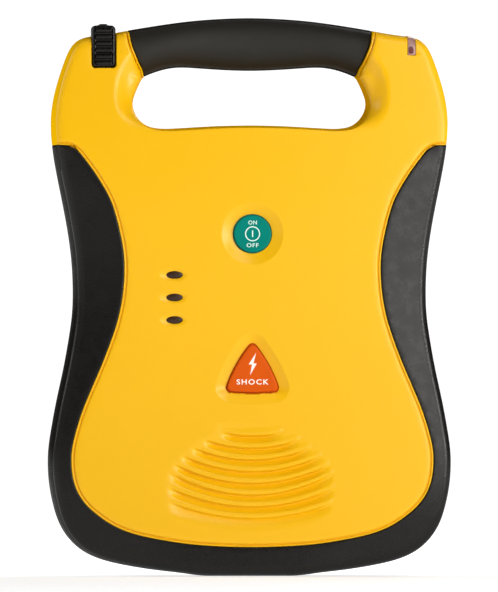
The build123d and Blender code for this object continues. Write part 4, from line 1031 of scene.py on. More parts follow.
def build_shell(name, front, outer, holes, material):
    keep = inner_lines(outer, 0.03)
    lines = []

    def put(items, clear=None):
        for line, closed in items:
            lines.extend(keep(line, closed))

    # chains along the overmould edge, the outer wall, the opening and the grip's ends
    put(offsets_of(edge_r, [0.0] + PANEL_P[1:], 0.9))
    put(offsets_of(edge_r, [-0.05], 0.9))
    hi = contour_r[contour_r[:, 1] > 225]
    put(offsets_of(hi, WALL_STEPS + [1.7, 2.3, 3.0, 3.9, 5.0], 1.0))
    put(offsets_of(opening_r, WALL_STEPS + [1.5, 2.0, 2.9, 4.0, 5.2, 6.5], 0.8))
    put(offsets_of(grip_end_r, [-d for d in COLLAR_P[1:]], 0.7))
    put(offsets_of(grip_end_r, [0.04], 0.7))
    put(offsets_of(scoop_edge, [0.0], 1.0))
    pts = []
    if front:
        for r in (11.2, 12.2, 13.2, 14.2, 15.1, 15.8, 16.3, 16.6, 16.9):
            put([(circle(0, BUTTON_Z, r, 96), True)])
        for g in (0.5, 1.2, 2.0, 2.8, 3.6, 4.3, 4.9, 5.35, 5.6):
            put([(resample(offset(shock_bore, -g, True), 0.8, True), True)])
        for zl in LAMP_Z:
            for q in (1.12, 1.27, 1.42, 1.57, 1.72, 1.8):
                put([(circle(LAMP_X - 0.6 * smooth(1.0, 1.4, q), zl, LAMP_SIZE[0] / 2 * q, 56,
                             LAMP_SIZE[1] / 2 * q), True)])
        for L in (notch, notch_in, seat, seat_in):
            put([(L, True)])
        put([(resample(offset(notch, -0.25, True), 0.6, True), True),
             (resample(offset(notch, -0.55, True), 0.6, True), True),
             (resample(offset(seat, -0.3, True), 0.5, True), True)])
        chains, more = louvre_lines(keep)
        put(chains)
        pts.append(more)
    else:
        for d in (0.9, 0.5, 0.2, 0.0, -0.36):
            put([(rounded_box(-60 - d, 60 + d, 106 - d, 232 + d, 6.0 + d, 1.5), True)])
        for d in (0.3, 0.0, -0.06):
            put([(rounded_box(-45.1 - d, 45.1 + d, 33.9 - d, 90.1 + d, 3.1 + d, 1.5), True)])
        for sx, sz in CASE_SCREWS:
            for r in (3.15, 3.25, 3.5, 3.9):
                put([(circle(sx, sz, r, 40), True)])
    all_lines = [outer] + holes + [l for l, c in lines]
    zones = []
    if front:
        zones.append((1.15, (-56, 56, 20, 87), louvre_zone))
        zones.append((1.3, (-26, 26, 88, 206),
                      lambda P: (np.hypot(P[:, 0], P[:, 1] - BUTTON_Z) < 19) |
                      (np.hypot(P[:, 0] / 24, (P[:, 1] - 110) / 24) < 1)))
    zones.append((1.1, (-112, 112, 234, 296),
                  lambda P: inside(scoop_area, folded(P)) | (D_scoop(folded(P)) < 2.0)))
    zones.append((2.6, (-112, 112, 0, 300), everything))
    inner = grids(zones, all_lines)
    if pts:
        more = thin_out(np.vstack(pts), [outer] + holes + [l for l, c in lines], 0.12)
        tree_gap = thin_out(inner, [more], 0.5)
        inner = np.vstack([tree_gap, more])
    inner = inner[inside(outer, inner)]
    top = triangulate([outer] + holes, lines, inner)

    # inside of the shell
    cavity_r = offset(contour_r, 5.0)
    cavity_r = cut_below(cavity_r, 270.0)
    cavity = both_sides(np.vstack([[[0, 5.0]], resample(cavity_r, 1.5)[1:],
                                   straight((cavity_r[-1, 0], 270.0), (74.3, 270.0), 2)[1:],
                                   straight((74.3, 270.0), (74.3, 236.0), 3)[1:],
                                   straight((74.3, 236.0), (0, 236.0), 4)[1:]]))
    low = []
    if front:
        deep_r = np.vstack([spline([(0, 19.5), (30, 20.5), (60, 26.0), (82, 38.0), (93, 58.0),
                                    (88, 84.0), (74, 120.0), (65, 160.0), (68, 190.0), (76, 212.0),
                                    (84, 225.0)], step=2.0), [[84.0, 232.0]],
                            straight((84, 232), (0, 232), 4)[1:]])
        deep = both_sides(deep_r)
        shallow, full, boss_r = 29.5, 31.0, 4.2
    else:
        deep = rounded_box(-64, 64, 102, 242, 2.0, 3.0)
        shallow, full, boss_r = 29.5, 24.3, 4.7
    for L in (cavity, deep):
        low.append((L, True))
        low.append((offset(L, 0.06, True), True))
    circles = [(sx, sz, boss_r, 0.01) for sx, sz in CASE_SCREWS]
    if front:
        circles += [(sx, sz, 3.5, 17.0) for sx, sz in BOARD_SCREWS]
    for sx, sz, r, h in circles:
        low.append((circle(sx, sz, r, 24), True))
        low.append((circle(sx, sz, r - 0.05, 24), True))
    D_cavity, D_deep = Dist(cavity, True, 0.5), Dist(deep, True, 0.5)

    def floor(P):
        z = P[:, 1]
        inc, ind = inside(cavity, P), inside(deep, P)
        dcv, ddp = D_cavity(P), D_deep(P)
        lid = half_depth(z) - crown(P[:, 0]) - (3.0 if front else 2.6)
        h = np.where(ind & (ddp > 0.03), full, shallow)
        h = np.minimum(h, lid)
        if front:
            h = np.where(louvre_zone(P), np.minimum(h, lid - 1.6), h)
        h = np.where(inc & (dcv > 0.03), h, 0.01)
        for sx, sz, r, hb in circles:
            h = np.where((np.hypot(P[:, 0] - sx, z - sz) < r - 0.02) & inc, hb, h)
        return h

    kept = []
    for line, closed in low:
        kept.extend(keep(line, closed))
    hole_keep = kept
    for hl in holes:
        Dh = Dist(hl, True, 0.5)
        nxt = []
        for line, closed in hole_keep:
            ok = ~inside(hl, line) & (Dh(line) > 0.2)
            if ok.all():
                nxt.append((line, closed))
            else:
                runs, start = [], None
                for j, v in enumerate(ok.tolist() + [False]):
                    if v and start is None:
                        start = j
                    if not v and start is not None:
                        if j - start > 1:
                            runs.append((line[start:j], False))
                        start = None
                nxt.extend(runs)
        hole_keep = nxt
    coarse = thin_out(hexgrid(-110, 110, 0, 300, 5.0), [outer] + holes + [l for l, c in hole_keep], 1.5)
    coarse = coarse[inside(outer, coarse)]
    bottom = triangulate([outer] + holes, hole_keep, coarse)
    return slab(name, top, bottom, lambda P: relief(P, front), floor, material,
                -1 if front else 1, part_lip(0.35, GAP_TOP + 0.6))


def build_bumper(name, front, outer, holes, material):
    keep = inner_lines(outer, 0.03)
    lines = []
    for line, closed in offsets_of(contour_r, WALL_STEPS + [1.7, 2.3, 3.0, 3.9, 5.0], 1.0) \
            + offsets_of(edge_r, [-d for d in arc_steps(0.8, 6)[1:]], 0.9):
        lines.extend(keep(line, closed))
    for hl in holes:
        n = len(hl)
        c = hl.mean(axis=0)
        lines.append(((hl - c) * 1.12 + c, True))
    inner = grids([(2.4, (-112, 112, 0, 236), everything)], [outer] + holes + [l for l, c in lines])
    inner = inner[inside(outer, inner)]
    top = triangulate([outer] + holes, lines, inner)
    low = []
    for line, closed in offsets_of(contour_r, [2.45, 2.5, 3.2, 4.2, 5.5, 7.0], 1.6):
        low.extend(keep(line, closed))
    coarse = thin_out(hexgrid(-112, 112, 0, 236, 4.0), [outer] + holes + [l for l, c in low], 1.2)
    coarse = coarse[inside(outer, coarse)]
    bottom = triangulate([outer] + holes, low, coarse)
    drop = SHIFT if front else 0.1

    def over(P):
        Q = folded(P)
        dp = D_panel(Q)
        h = half_depth(P[:, 1]) - drop - crown(P[:, 0]) - fall(P, dp) \
            - round_off(D_contour(Q), EDGE_R) - round_off(dp, 0.8)
        for hl in holes:
            c = hl.mean(axis=0)
            r = np.hypot(P[:, 0] - c[0], P[:, 1] - c[1])
            h -= np.where(r < 3.9, round_off(np.maximum(r - 3.4, 0), 0.45), 0)
        return draft(h, D_contour(Q), 1.25)

    def under(P):
        Q = folded(P)
        dc = D_contour(Q)
        h = half_depth(P[:, 1]) - 2.5 - crown(P[:, 0]) - fall(P, D_panel(Q)) \
            - round_off(np.maximum(dc - 2.5, 0), EDGE_R - 2.5)
        return np.where(dc < 2.475, 0.01, h)

    return slab(name, top, bottom, over, under, material, -1 if front else 1, part_lip(0.35, -5.0))


low_holes = [circle(x, z, 3.4, 40) for x, z in CASE_SCREWS if z < 200 and (x, z) != (-92.0, 62.0)]

shell_front = build_shell("shell_front", True, front_loop, [hole_loop, on_bore, shock_bore] + lens_holes, YELLOW)
shell_rear = build_shell("shell_rear", False, rear_loop, [hole_loop], YELLOW)
bumper_front = build_bumper("bumper_front", True, bumper_loop, [], RUBBER)
bumper_rear = build_bumper("bumper_rear", False, bumper_loop, low_holes, RUBBER)

# side openings for the battery and its release, and the hole for the plug's nose
for target in (shell_rear, bumper_rear):
    cut_with(target, prism("cut_bay", rounded_box(1.8, 27.2, 24.5, 99.5, 2.6, 1.0), 70, 130, "x"))
    cut_with(target, prism("cut_eject", rounded_box(7.7, 20.3, 103.2, 112.8, 1.8, 0.8), 88, 125, "x"))
cut_with(shell_front, prism("cut_nose", rounded_box(PLUG_X - 4.8, PLUG_X + 4.8, PLUG_Y - 4.3, PLUG_Y + 4.3, 1.2, 0.6),
                            262, 282, "z"))

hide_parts("front_case")
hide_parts("rear_case")
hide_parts("front_bumper")
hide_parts("rear_bumper")
for ob, slot in ((shell_front, "yellow_shell"), (shell_rear, "yellow_shell"),
                 (bumper_front, "black_rubber"), (bumper_rear, "black_rubber")):
    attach(ob, "housing")


# ------------------------------------------------------------------ soft grip
def grip_half(name, sign, node):
    nx, nt = 110, 40
    top = lambda x: np.interp(np.abs(x), grip_top_r[:, 0], grip_top_r[:, 1])
    under = lambda x: np.interp(np.abs(x), grip_under_r[:, 0], grip_under_r[:, 1])
    ends = (1.0, 0.9975, 0.993, 0.985)
    us = np.concatenate([[-e for e in ends], np.linspace(-0.97, 0.97, nx), ends[::-1]])
    inset = np.concatenate([[0.55, 0.25, 0.08, 0.0], np.zeros(nx), [0.0, 0.08, 0.25, 0.55]])
    V = []
    for u, cut in zip(us, inset):
        th = np.linspace(0, math.pi, nt)
        c, s = np.cos(th), np.sin(th)
        zeta = 0.5 + 0.5 * np.sign(c) * np.abs(c) ** (2 / 2.5)
        depth = np.abs(s) ** (2 / 2.5)
        z_end = 268.35 + (293.25 - 268.35) * zeta
        x = u * (np.interp(z_end, grip_end_r[:, 1], grip_end_r[:, 0]) - 0.12)
        zt, zu = top(x), under(x)
        hd = 15.2 + 2.6 * smooth(20, 60, np.abs(x)) - 0.35 * np.cos(np.abs(x) / 60 * 2 * np.pi)
        # the section leans: fuller above the middle, drawn in below
        depth = depth * (1 - 0.10 * smooth(0.55, 0.0, zeta))
        zc = zu + (zt - zu) * zeta
        zmid = (zt + zu) / 2
        y = (hd - cut) * depth
        z = zmid + (zc - zmid) * (1 - cut / 12)
        # moulding seam along top and bottom
        y = np.maximum(y, 0.0)
        V += [(xx, sign * (yy + 0.01), zz) for xx, yy, zz in zip(x, y, z)]
    F = []
    m = len(us)
    for i in range(m - 1):
        for j in range(nt - 1):
            F.append((i * nt + j, (i + 1) * nt + j, (i + 1) * nt + j + 1, i * nt + j + 1))
        F.append((i * nt + nt - 1, (i + 1) * nt + nt - 1, (i + 1) * nt, i * nt))
    F.append(tuple(range(nt)))
    F.append(tuple((m - 1) * nt + j for j in range(nt))[::-1])
    ob = make_object(name, V, F, GRIP)
    bm = bmesh.new()
    bm.from_mesh(ob.data)
    bmesh.ops.recalc_face_normals(bm, faces=bm.faces)
    bm.to_mesh(ob.data)
    bm.free()
    top_line = np.vstack([mirrored(bar_top_r), bar_top_r[1:]])
    top_line = top_line[np.abs(top_line[:, 0]) < 67.9]
    loop = np.vstack([[(-68.0, 277.45)], [(-68.0, 287.9)], top_line, [(68.0, 287.9)], [(68.0, 277.45)]])
    lo, hi = (-10.85, 1.0) if sign < 0 else (-1.0, 10.85)
    cut_with(ob, prism("cut_bar", loop[::-1], lo, hi, "y"))
    ob.data.set_sharp_from_angle(angle=math.radians(42))
    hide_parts(node)
    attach(ob, "housing")
    return ob


grip_half("grip_front_soft", -1, "grip_front")
grip_half("grip_rear_soft", 1, "grip_rear")


# ------------------------------------------------------------------ buttons
def fillet_steps(r0, h0, r, n=6, up=True):
    """Quarter round between radius r0 and height h0."""
    return [(r0 - r + r * math.cos(a), h0 - r + r * math.sin(a)) for a in np.linspace(0, math.pi / 2, n)]


cap_h = 33.72
profile_on = [(0.0, 26.5), (2.9, 26.5), (2.9, 29.45), (12.3, 29.45), (12.3, 30.85), (10.05, 30.9)]
profile_on += [(10.05 - 0.85 + 0.85 * math.cos(a), cap_h - 0.85 + 0.85 * math.sin(a))
               for a in np.linspace(0, math.pi / 2, 8)]
profile_on += [(8.2, cap_h - 0.02), (6.0, cap_h - 0.07), (3.0, cap_h - 0.11), (0.0, cap_h - 0.12)]
on_cap = lathe("on_off_cap", profile_on, (0, BUTTON_Z), GREEN, 96)
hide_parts("on_off_button")
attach(on_cap, "on_off_button")


def cap_surface_on(P):
    r = np.hypot(P[:, 0], P[:, 1] - BUTTON_Z)
    return np.interp(r, [0, 3, 6, 8.2, 9.4], [cap_h - 0.12, cap_h - 0.11, cap_h - 0.07, cap_h - 0.02, cap_h])


shock_face = shock_outline(-0.5)
D_shock_face = Dist(shock_face, True)


def shock_top(P):
    d = D_shock_face(P)
    return 33.85 - round_off(d, 1.0) - 0.10 * smooth(1.0, 9.0, d)


def build_shock():
    lines = [(resample(offset(shock_face, d, True), 0.9, True), True) for d in arc_steps(1.0, 7)[1:]]
    body = thin_out(hexgrid(-18, 18, 95, 130, 1.2), [shock_face] + [l for l, c in lines], 0.5)
    body = body[inside(shock_face, body)]
    top = triangulate([shock_face], lines, body)
    few = thin_out(hexgrid(-18, 18, 95, 130, 4.0), [shock_face], 1.5)
    few = few[inside(shock_face, few)]
    bottom = triangulate([shock_face], [], few)
    ob = slab("shock_cap", top, bottom, shock_top, lambda P: np.full(len(P), 30.8), RED)
    flange_loop = shock_outline(1.8)
    flange = prism("shock_flange", flange_loop, -30.85, -29.4, "y", RED)
    stem = lathe("shock_stem", [(0.0, 26.7), (3.0, 26.7), (3.0, 29.45), (0.0, 29.45)], (0, 111.0), RED, 32)
    for o in (ob, flange, stem):
        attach(o, "shock_button")
    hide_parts("shock_button")
    return ob


build_shock()


# ------------------------------------------------------------------ marks on the buttons
def strip(name, line, width, height_of, material, body, closed=False, step=0.25, rise=0.05):
    """Raised band of ink that follows a line on the face."""
    c = resample(np.array(line, float), step, closed)
    a, b = offset(c, width / 2, closed), offset(c, -width / 2, closed)
    return ink(name, [(a, b)], height_of, material, body, closed, rise)


def ink(name, bands, height_of, material, body, closed, rise):
    V, F = [], []
    for a, b in bands:
        n, k = len(a), len(V)
        ha, hb = height_of(a), height_of(b)
        V += [(x, -(h + rise), z) for (x, z), h in zip(a, ha)]
        V += [(x, -(h + rise), z) for (x, z), h in zip(b, hb)]
        V += [(x, -(h - 0.05), z) for (x, z), h in zip(a, ha)]
        V += [(x, -(h - 0.05), z) for (x, z), h in zip(b, hb)]
        m = n if closed else n - 1
        for i in range(m):
            j = (i + 1) % n
            F.append((k + i, k + n + i, k + n + j, k + j))
            F.append((k + 2 * n + i, k + 2 * n + j, k + 3 * n + j, k + 3 * n + i))
            F.append((k + i, k + j, k + 2 * n + j, k + 2 * n + i))
            F.append((k + n + i, k + 3 * n + i, k + 3 * n + j, k + n + j))
        if not closed:
            F.append((k, k + 2 * n, k + 3 * n, k + n))
            F.append((k + n - 1, k + 2 * n - 1, k + 4 * n - 1, k + 3 * n - 1))
    ob = make_object(name, V, F, material, 60)
    bm = bmesh.new()
    bm.from_mesh(ob.data)
    bmesh.ops.recalc_face_normals(bm, faces=bm.faces)
    bm.to_mesh(ob.data)
    bm.free()
    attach(ob, body)
    return ob


def plate(name, loops, height_of, material, body, rise=0.05, fine=0.7):
    """Raised flat mark with the given outlines; the first is the outer one, later ones are holes."""
    lines = []
    box = loops[0]
    g = hexgrid(box[:, 0].min(), box[:, 0].max(), box[:, 1].min(), box[:, 1].max(), fine)
    g = thin_out(g, loops, fine * 0.4)
    g = g[inside(box, g)] if len(g) else g
    tri = triangulate(loops, lines, g)
    ob = slab(name, tri, tri, lambda P: height_of(P) + rise, lambda P: height_of(P) - 0.05, material)
    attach(ob, body)
    return ob


def word(name, text, centre, height, width, height_of, material, body, bold=0.0, spacing=1.0):
    """Flat raised word on a face that looks towards -Y."""
    cu = bpy.data.curves.new(name, "FONT")
    cu.body = text
    cu.size = 10.0
    cu.offset = bold
    cu.space_character = spacing
    cu.resolution_u = 6
    ob = bpy.data.objects.new(name, cu)
    bpy.context.scene.collection.objects.link(ob)
    bpy.context.view_layer.update()
    me = bpy.data.meshes.new_from_object(ob.evaluated_get(bpy.context.evaluated_depsgraph_get()))
    bpy.data.objects.remove(ob)
    bm = bmesh.new()
    bm.from_mesh(me)
    bmesh.ops.remove_doubles(bm, verts=bm.verts, dist=1e-4)
    bmesh.ops.triangulate(bm, faces=bm.faces)
    bm.verts.index_update()
    P = np.array([v.co[:2] for v in bm.verts], float)
    T = np.array([[v.index for v in f.verts] for f in bm.faces], int)
    bm.free()
    bpy.data.meshes.remove(me)
    lo, hi = P.min(0), P.max(0)
    P = (P - (lo + hi) / 2) / (hi - lo) * np.array([width, height]) + np.array(centre)
    a, b, c = P[T[:, 0]], P[T[:, 1]], P[T[:, 2]]
    area = (b[:, 0] - a[:, 0]) * (c[:, 1] - a[:, 1]) - (b[:, 1] - a[:, 1]) * (c[:, 0] - a[:, 0])
    T[area < 0] = T[area < 0][:, ::-1]
    T = T[np.abs(area) > 1e-7]
    ob = slab(name, (P, T), (P, T), lambda Q: height_of(Q) + 0.05, lambda Q: height_of(Q) - 0.05, material)
    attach(ob, body)
    return ob


word("mark_on", "ON", (0.0, BUTTON_Z + 6.05), 2.15, 4.6, cap_surface_on, MARK, "on_off_button", 0.09, 1.1)
word("mark_off", "OFF", (0.0, BUTTON_Z - 6.15), 2.15, 6.4, cap_surface_on, MARK, "on_off_button", 0.09, 1.12)
strip("mark_ring", circle(0, BUTTON_Z, 3.75, 64), 0.56, cap_surface_on, MARK, "on_off_button", True)
strip("mark_bar", [(0, BUTTON_Z - 1.75), (0, BUTTON_Z + 1.85)], 0.62, cap_surface_on, MARK, "on_off_button")
bolt = np.array([(1.85, 120.1), (-2.1, 113.9), (-0.35, 113.9), (-1.35, 108.1), (2.2, 114.4),
                 (0.45, 114.4)])[::-1]
plate("mark_bolt", [np.vstack([straight(bolt[k], bolt[(k + 1) % 6], 0.8)[:-1] for k in range(6)])],
      shock_top, MARK_W, "shock_button")
word("mark_shock", "SHOCK", (0.0, 104.5), 2.85, 17.2, shock_top, MARK_W, "shock_button", 0.20, 1.25)


# ------------------------------------------------------------------ lamps and window
def dome(name, cx, cz, rx, rz, low, top, rise, material, n=48):
    V, F, rings = [], [], []
    levels = [(1.0, low), (1.0, top - 0.25)] + [(math.cos(a), top - 0.25 + rise * math.sin(a))
                                                 for a in np.radians([20, 40, 60, 75])]
    for k, h in levels:
        rings.append(list(range(len(V), len(V) + n)))
        for i in range(n):
            a = 2 * math.pi * i / n
            V.append((cx + rx * k * math.cos(a), -h, cz + rz * k * math.sin(a)))
    V.append((cx, -(top - 0.25 + rise), cz))
    for A, B in zip(rings, rings[1:]):
        F += [(A[i], A[(i + 1) % n], B[(i + 1) % n], B[i]) for i in range(n)]
    F += [(rings[-1][i], rings[-1][(i + 1) % n], len(V) - 1) for i in range(n)]
    F.append(tuple(rings[0])[::-1])
    return make_object(name, V, F, material, 50)


for k, z in enumerate(LAMP_Z):
    ob = dome(f"lamp_lens_{k + 1}", LAMP_X, z, 4.42, 2.04, 30.0, 32.9, 0.4, LENS)
    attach(ob, "housing")
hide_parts("indicator_lenses")

win = rounded_box(WINDOW_X - 2.08, WINDOW_X + 2.08, 280.05, 289.9, 0.9, 0.35, (1, 1, 1, 1))
win_pts = thin_out(hexgrid(WINDOW_X - 2, WINDOW_X + 2, 280, 290, 0.6), [win], 0.25)
win_pts = win_pts[inside(win, win_pts)]
win_tri = triangulate([win], [(resample(offset(win, d, True), 0.4, True), True) for d in (0.12, 0.35)], win_pts)
D_win = Dist(win, True)


def window_top(P):
    return half_depth(P[:, 1]) - SHIFT - crown(P[:, 0]) + 0.12 - round_off(np.maximum(D_contour(folded(P)) - 0.1, 0), 6.6) \
        - round_off(D_win(P), 0.4)


window = slab("status_pane", win_tri, win_tri, window_top, lambda P: np.full(len(P), 14.05), WINDOW)
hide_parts("status_window")
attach(window, "housing")
lamp_loop = rounded_box(WINDOW_X - 1.75, WINDOW_X + 0.95, 280.75, 284.9, 1.3, 0.3)
lamp_spot = plate("status_lamp_face", [lamp_loop], window_top, LAMP, "housing", 0.03, 0.6)

# ------------------------------------------------------------------ pads plug
plug_loop = rounded_box(PLUG_X - 6.35, PLUG_X + 6.35, 273.35, 295.95, 2.3, 0.4)
D_plug = Dist(plug_loop, True)


def plug_top(P):
    x, z = P[:, 0] - PLUG_X, P[:, 1] - PLUG_BOTTOM
    h = 23.3 - round_off(D_plug(P), 1.5)
    inner = smooth_box(P, PLUG_X, PLUG_BOTTOM + 11.3, 5.05, 10.0, 1.6)
    h -= 0.9 * (1 - smooth(-0.35, 0.05, inner))            # ribs stand in a shallow panel
    for k in range(6):
        zc = 2.35 + 3.55 * k
        rib = np.sqrt(np.maximum(0, 1 - ((z - zc) / 1.3) ** 2))
        side = smooth(4.75, 4.2, np.abs(x))
        h += 1.15 * rib * side * (inner < -0.2)
    return h


plug_lines = [(resample(offset(plug_loop, d, True), 0.7, True), True) for d in (0.1, 0.4, 0.9, 1.5)]
plug_pts = thin_out(hexgrid(PLUG_X - 6.4, PLUG_X + 6.4, 273.2, 296, 0.42), [plug_loop] + [l for l, c in plug_lines], 0.2)
plug_pts = plug_pts[inside(plug_loop, plug_pts)]
plug_tri = triangulate([plug_loop], plug_lines, plug_pts)
few = triangulate([plug_loop], [(resample(offset(plug_loop, 1.2, True), 1.0, True), True)], np.array([[PLUG_X, 284.0]]))
plug_body = slab("pads_plug_body", plug_tri, few, plug_top, lambda P: 7.65 + round_off(D_plug(P), 1.2), PLUG)


def turned_z(name, profile_rz, centre, material, n=40):
    """Closed turned solid about an axis along Z."""
    x0, y0 = centre
    V, F, rings = [], [], []
    for r, z in profile_rz:
        if r < 1e-6:
            rings.append([len(V)])
            V.append((x0, y0, z))
        else:
            rings.append(list(range(len(V), len(V) + n)))
            V += [(x0 + r * math.cos(2 * math.pi * k / n), y0 + r * math.sin(2 * math.pi * k / n), z)
                  for k in range(n)]
    for A, B in zip(rings, rings[1:]):
        for k in range(n):
            k2 = (k + 1) % n
            if len(A) == 1:
                F.append((A[0], B[k], B[k2]))
            elif len(B) == 1:
                F.append((A[k], B[0], A[k2]))
            else:
                F.append((A[k], B[k], B[k2], A[k2]))
    ob = make_object(name, V, F, material)
    bm = bmesh.new()
    bm.from_mesh(ob.data)
    bmesh.ops.recalc_face_normals(bm, faces=bm.faces)
    bm.to_mesh(ob.data)
    bm.free()
    return ob


plug_boss = turned_z("pads_plug_boss", [(0, 294.5), (3.3, 294.5), (3.3, 295.9), (3.0, 296.2), (2.2, 296.35),
                                        (2.05, 296.75), (1.8, 296.8), (1.2, 296.8), (1.15, 295.9), (0, 295.9)],
                     (PLUG_X, -15.6), PLUG)
nose_loop = rounded_box(PLUG_X - 4.5, PLUG_X + 4.5, PLUG_Y - 4.0, PLUG_Y + 4.0, 1.0, 0.6)
plug_nose = prism("pads_plug_nose", nose_loop, 257.0, 273.4, "z", PLUG)
for dx in (-2.4, 2.4):
    cut_with(plug_nose, prism("cut_sleeve", circle(PLUG_X + dx, PLUG_Y, 1.6, 32), 256.0, 269.0, "z"))
for ob in (plug_body, plug_boss, plug_nose):
    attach(ob, "pads_plug")
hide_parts("pads_plug")

# ------------------------------------------------------------------ CAD nodes that keep their shape
for name, ob in frame["nodes"].items():
    if ob.hide_render:
        continue
    slot = node_slot.get(name)
    ob.data.materials.clear()
    ob.data.materials.append(FINISH[slot])
    ob.data.set_sharp_from_angle(angle=math.radians(35))

# ------------------------------------------------------------------ studio
floor_me = bpy.data.meshes.new("studio_floor")
S = 60.0
floor_me.from_pydata([(-S, -S, 0), (S, -S, 0), (S, S, 0), (-S, S, 0)], [], [(0, 1, 2, 3)])
studio_floor = bpy.data.objects.new("studio_floor", floor_me)
bpy.context.scene.collection.objects.link(studio_floor)
fm = bpy.data.materials.new("studio_floor")
fm.use_nodes = True
fb = fm.node_tree.nodes["Principled BSDF"]
fb.inputs["Base Color"].default_value = (0.56, 0.56, 0.56, 1)
fb.inputs["Roughness"].default_value = 0.9
fb.inputs["Specular IOR Level"].default_value = 0.1
fb.inputs["Emission Color"].default_value = (1, 1, 1, 1)
ft = fm.node_tree
f_co = ft.nodes.new("ShaderNodeTexCoord")
f_sep = ft.nodes.new("ShaderNodeSeparateXYZ")
ft.links.new(f_co.outputs["Object"], f_sep.inputs["Vector"])


def floor_ramp(source, a, b, lo, hi):
    node = ft.nodes.new("ShaderNodeMapRange")
    node.interpolation_type = "SMOOTHSTEP"
    node.inputs["From Min"].default_value, node.inputs["From Max"].default_value = a, b
    node.inputs["To Min"].default_value, node.inputs["To Max"].default_value = lo, hi
    ft.links.new(source, node.inputs["Value"])
    return node.outputs["Result"]


def floor_math(kind, one, two=None):
    node = ft.nodes.new("ShaderNodeMath")
    node.operation = kind
    ft.links.new(one, node.inputs[0])
    if two is not None:
        ft.links.new(two, node.inputs[1])
    return node.outputs["Value"]


f_behind = floor_ramp(f_sep.outputs["Y"], -0.25, 0.12, 0.0, 1.0)
f_front = floor_ramp(f_sep.outputs["Y"], -1.15, -0.60, 0.0, 0.6)
f_across = floor_ramp(floor_math("ABSOLUTE", f_sep.outputs["X"]), 0.16, 0.60, 1.0, 0.0)
f_beside = floor_math("MULTIPLY", floor_ramp(floor_math("ABSOLUTE", f_sep.outputs["X"]), 0.16, 0.60, 0.0, 1.0),
                      floor_ramp(f_sep.outputs["Y"], -0.90, -0.45, 0.0, 1.0))
f_length = ft.nodes.new("ShaderNodeVectorMath")
f_length.operation = "LENGTH"
ft.links.new(f_co.outputs["Object"], f_length.inputs[0])
f_far = floor_ramp(f_length.outputs["Value"], 0.9, 1.9, 0.55, 1.0)
f_near = floor_math("ADD", floor_math("MULTIPLY", f_front, f_across), f_beside)
ft.links.new(floor_math("MAXIMUM", f_near, floor_math("MAXIMUM", f_behind, f_far)),
             fb.inputs["Emission Strength"])
floor_me.materials.append(fm)

world = bpy.data.worlds.new("studio")
bpy.context.scene.world = world
world.use_nodes = True
wn = world.node_tree
for n in list(wn.nodes):
    wn.nodes.remove(n)
w_out = wn.nodes.new("ShaderNodeOutputWorld")
w_bg = wn.nodes.new("ShaderNodeBackground")
w_ramp = wn.nodes.new("ShaderNodeValToRGB")
w_dot = wn.nodes.new("ShaderNodeVectorMath")
w_dot.operation = "DOT_PRODUCT"
w_dot.inputs[1].default_value = (math.sin(math.radians(3.3)), math.cos(math.radians(3.3)), 0.0)
w_co = wn.nodes.new("ShaderNodeTexCoord")
w_map = wn.nodes.new("ShaderNodeMapRange")
w_map.inputs["From Min"].default_value, w_map.inputs["From Max"].default_value = -1.0, 1.0
wn.links.new(w_co.outputs["Generated"], w_dot.inputs[0])
wn.links.new(w_dot.outputs["Value"], w_map.inputs["Value"])
wn.links.new(w_map.outputs["Result"], w_ramp.inputs["Fac"])
e = w_ramp.color_ramp.elements
e[0].position, e[0].color = 0.0, (0.05, 0.05, 0.05, 1)
e[1].position, e[1].color = 0.9994, (1.15, 1.15, 1.15, 1)
for place, level in ((0.07, 0.09), (0.25, 0.24), (0.5, 0.16), (0.80, 0.14), (0.9986, 0.16)):
    w_ramp.color_ramp.elements.new(place).color = (level, level, level, 1)
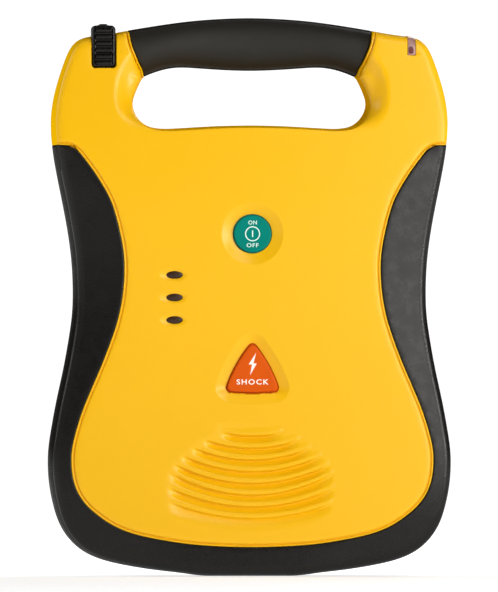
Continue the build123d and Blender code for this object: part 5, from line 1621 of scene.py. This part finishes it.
# below the horizon the studio is as pale as its floor
w_sep = wn.nodes.new("ShaderNodeSeparateXYZ")
w_low = wn.nodes.new("ShaderNodeMapRange")
w_low.inputs["From Min"].default_value, w_low.inputs["From Max"].default_value = -0.012, -0.007
w_low.inputs["To Min"].default_value, w_low.inputs["To Max"].default_value = 1.15, 0.0
w_max = wn.nodes.new("ShaderNodeMath")
w_max.operation = "MAXIMUM"
wn.links.new(w_co.outputs["Generated"], w_sep.inputs["Vector"])
wn.links.new(w_sep.outputs["Z"], w_low.inputs["Value"])
wn.links.new(w_low.outputs["Result"], w_max.inputs[0])
wn.links.new(w_ramp.outputs["Color"], w_max.inputs[1])
w_bg.inputs["Color"].default_value = (1, 1, 1, 1)
wn.links.new(w_max.outputs["Value"], w_bg.inputs["Strength"])
wn.links.new(w_bg.outputs["Background"], w_out.inputs["Surface"])


def softbox(name, place, aim, size, power, colour=(1, 1, 1)):
    ld = bpy.data.lights.new(name, "AREA")
    ld.shape = "RECTANGLE"
    ld.size, ld.size_y = size
    ld.energy = power
    ld.color = colour
    lo = bpy.data.objects.new(name, ld)
    bpy.context.scene.collection.objects.link(lo)
    lo.location = place
    lo.rotation_euler = (Vector(aim) - Vector(place)).to_track_quat("-Z", "Y").to_euler()
    return lo


softbox("key", (0.75, -1.45, 1.60), (0, 0, 0.15), (1.0, 0.8), 7.6, (1.0, 0.985, 0.96))
softbox("side", (0.78, -1.76, 0.52), (0, 0, 0.15), (0.50, 1.40), 14.5, (1.0, 0.98, 0.945))
softbox("rim", (1.33, -1.23, 0.17), (0, 0, 0.14), (0.30, 1.00), 15.5, (1.0, 0.985, 0.96))
softbox("fill", (-1.3, -1.4, 0.6), (0, 0, 0.15), (1.2, 1.2), 1.2)
softbox("left", (-1.9, 0.35, 1.00), (0, 0, 0.15), (1.2, 1.2), 14.5)
softbox("back", (0.7, 1.6, 1.0), (0, 0, 0.15), (1.0, 1.0), 12.0)

cam_data = bpy.data.cameras.new("camera")
cam = bpy.data.objects.new("camera", cam_data)
bpy.context.scene.collection.objects.link(cam)
cam_data.sensor_width = 36.0
cam_data.lens = 1200.0
az = math.radians(-3.3)
dist = 0.3183 * 1200.0 / 36.0 + 0.015
back = Vector((math.sin(az), -math.cos(az), 0.0))
aim = Vector((0.0, 0.0, 0.1506))
cam.location = aim + back * dist
cam.rotation_mode = "QUATERNION"
cam.rotation_quaternion = (-back).to_track_quat("-Z", "Y")
cam_data.clip_start, cam_data.clip_end = 0.05, 300.0
bpy.context.scene.camera = cam

bpy.context.scene.view_settings.view_transform = "Standard"
bpy.context.scene.view_settings.look = "None"
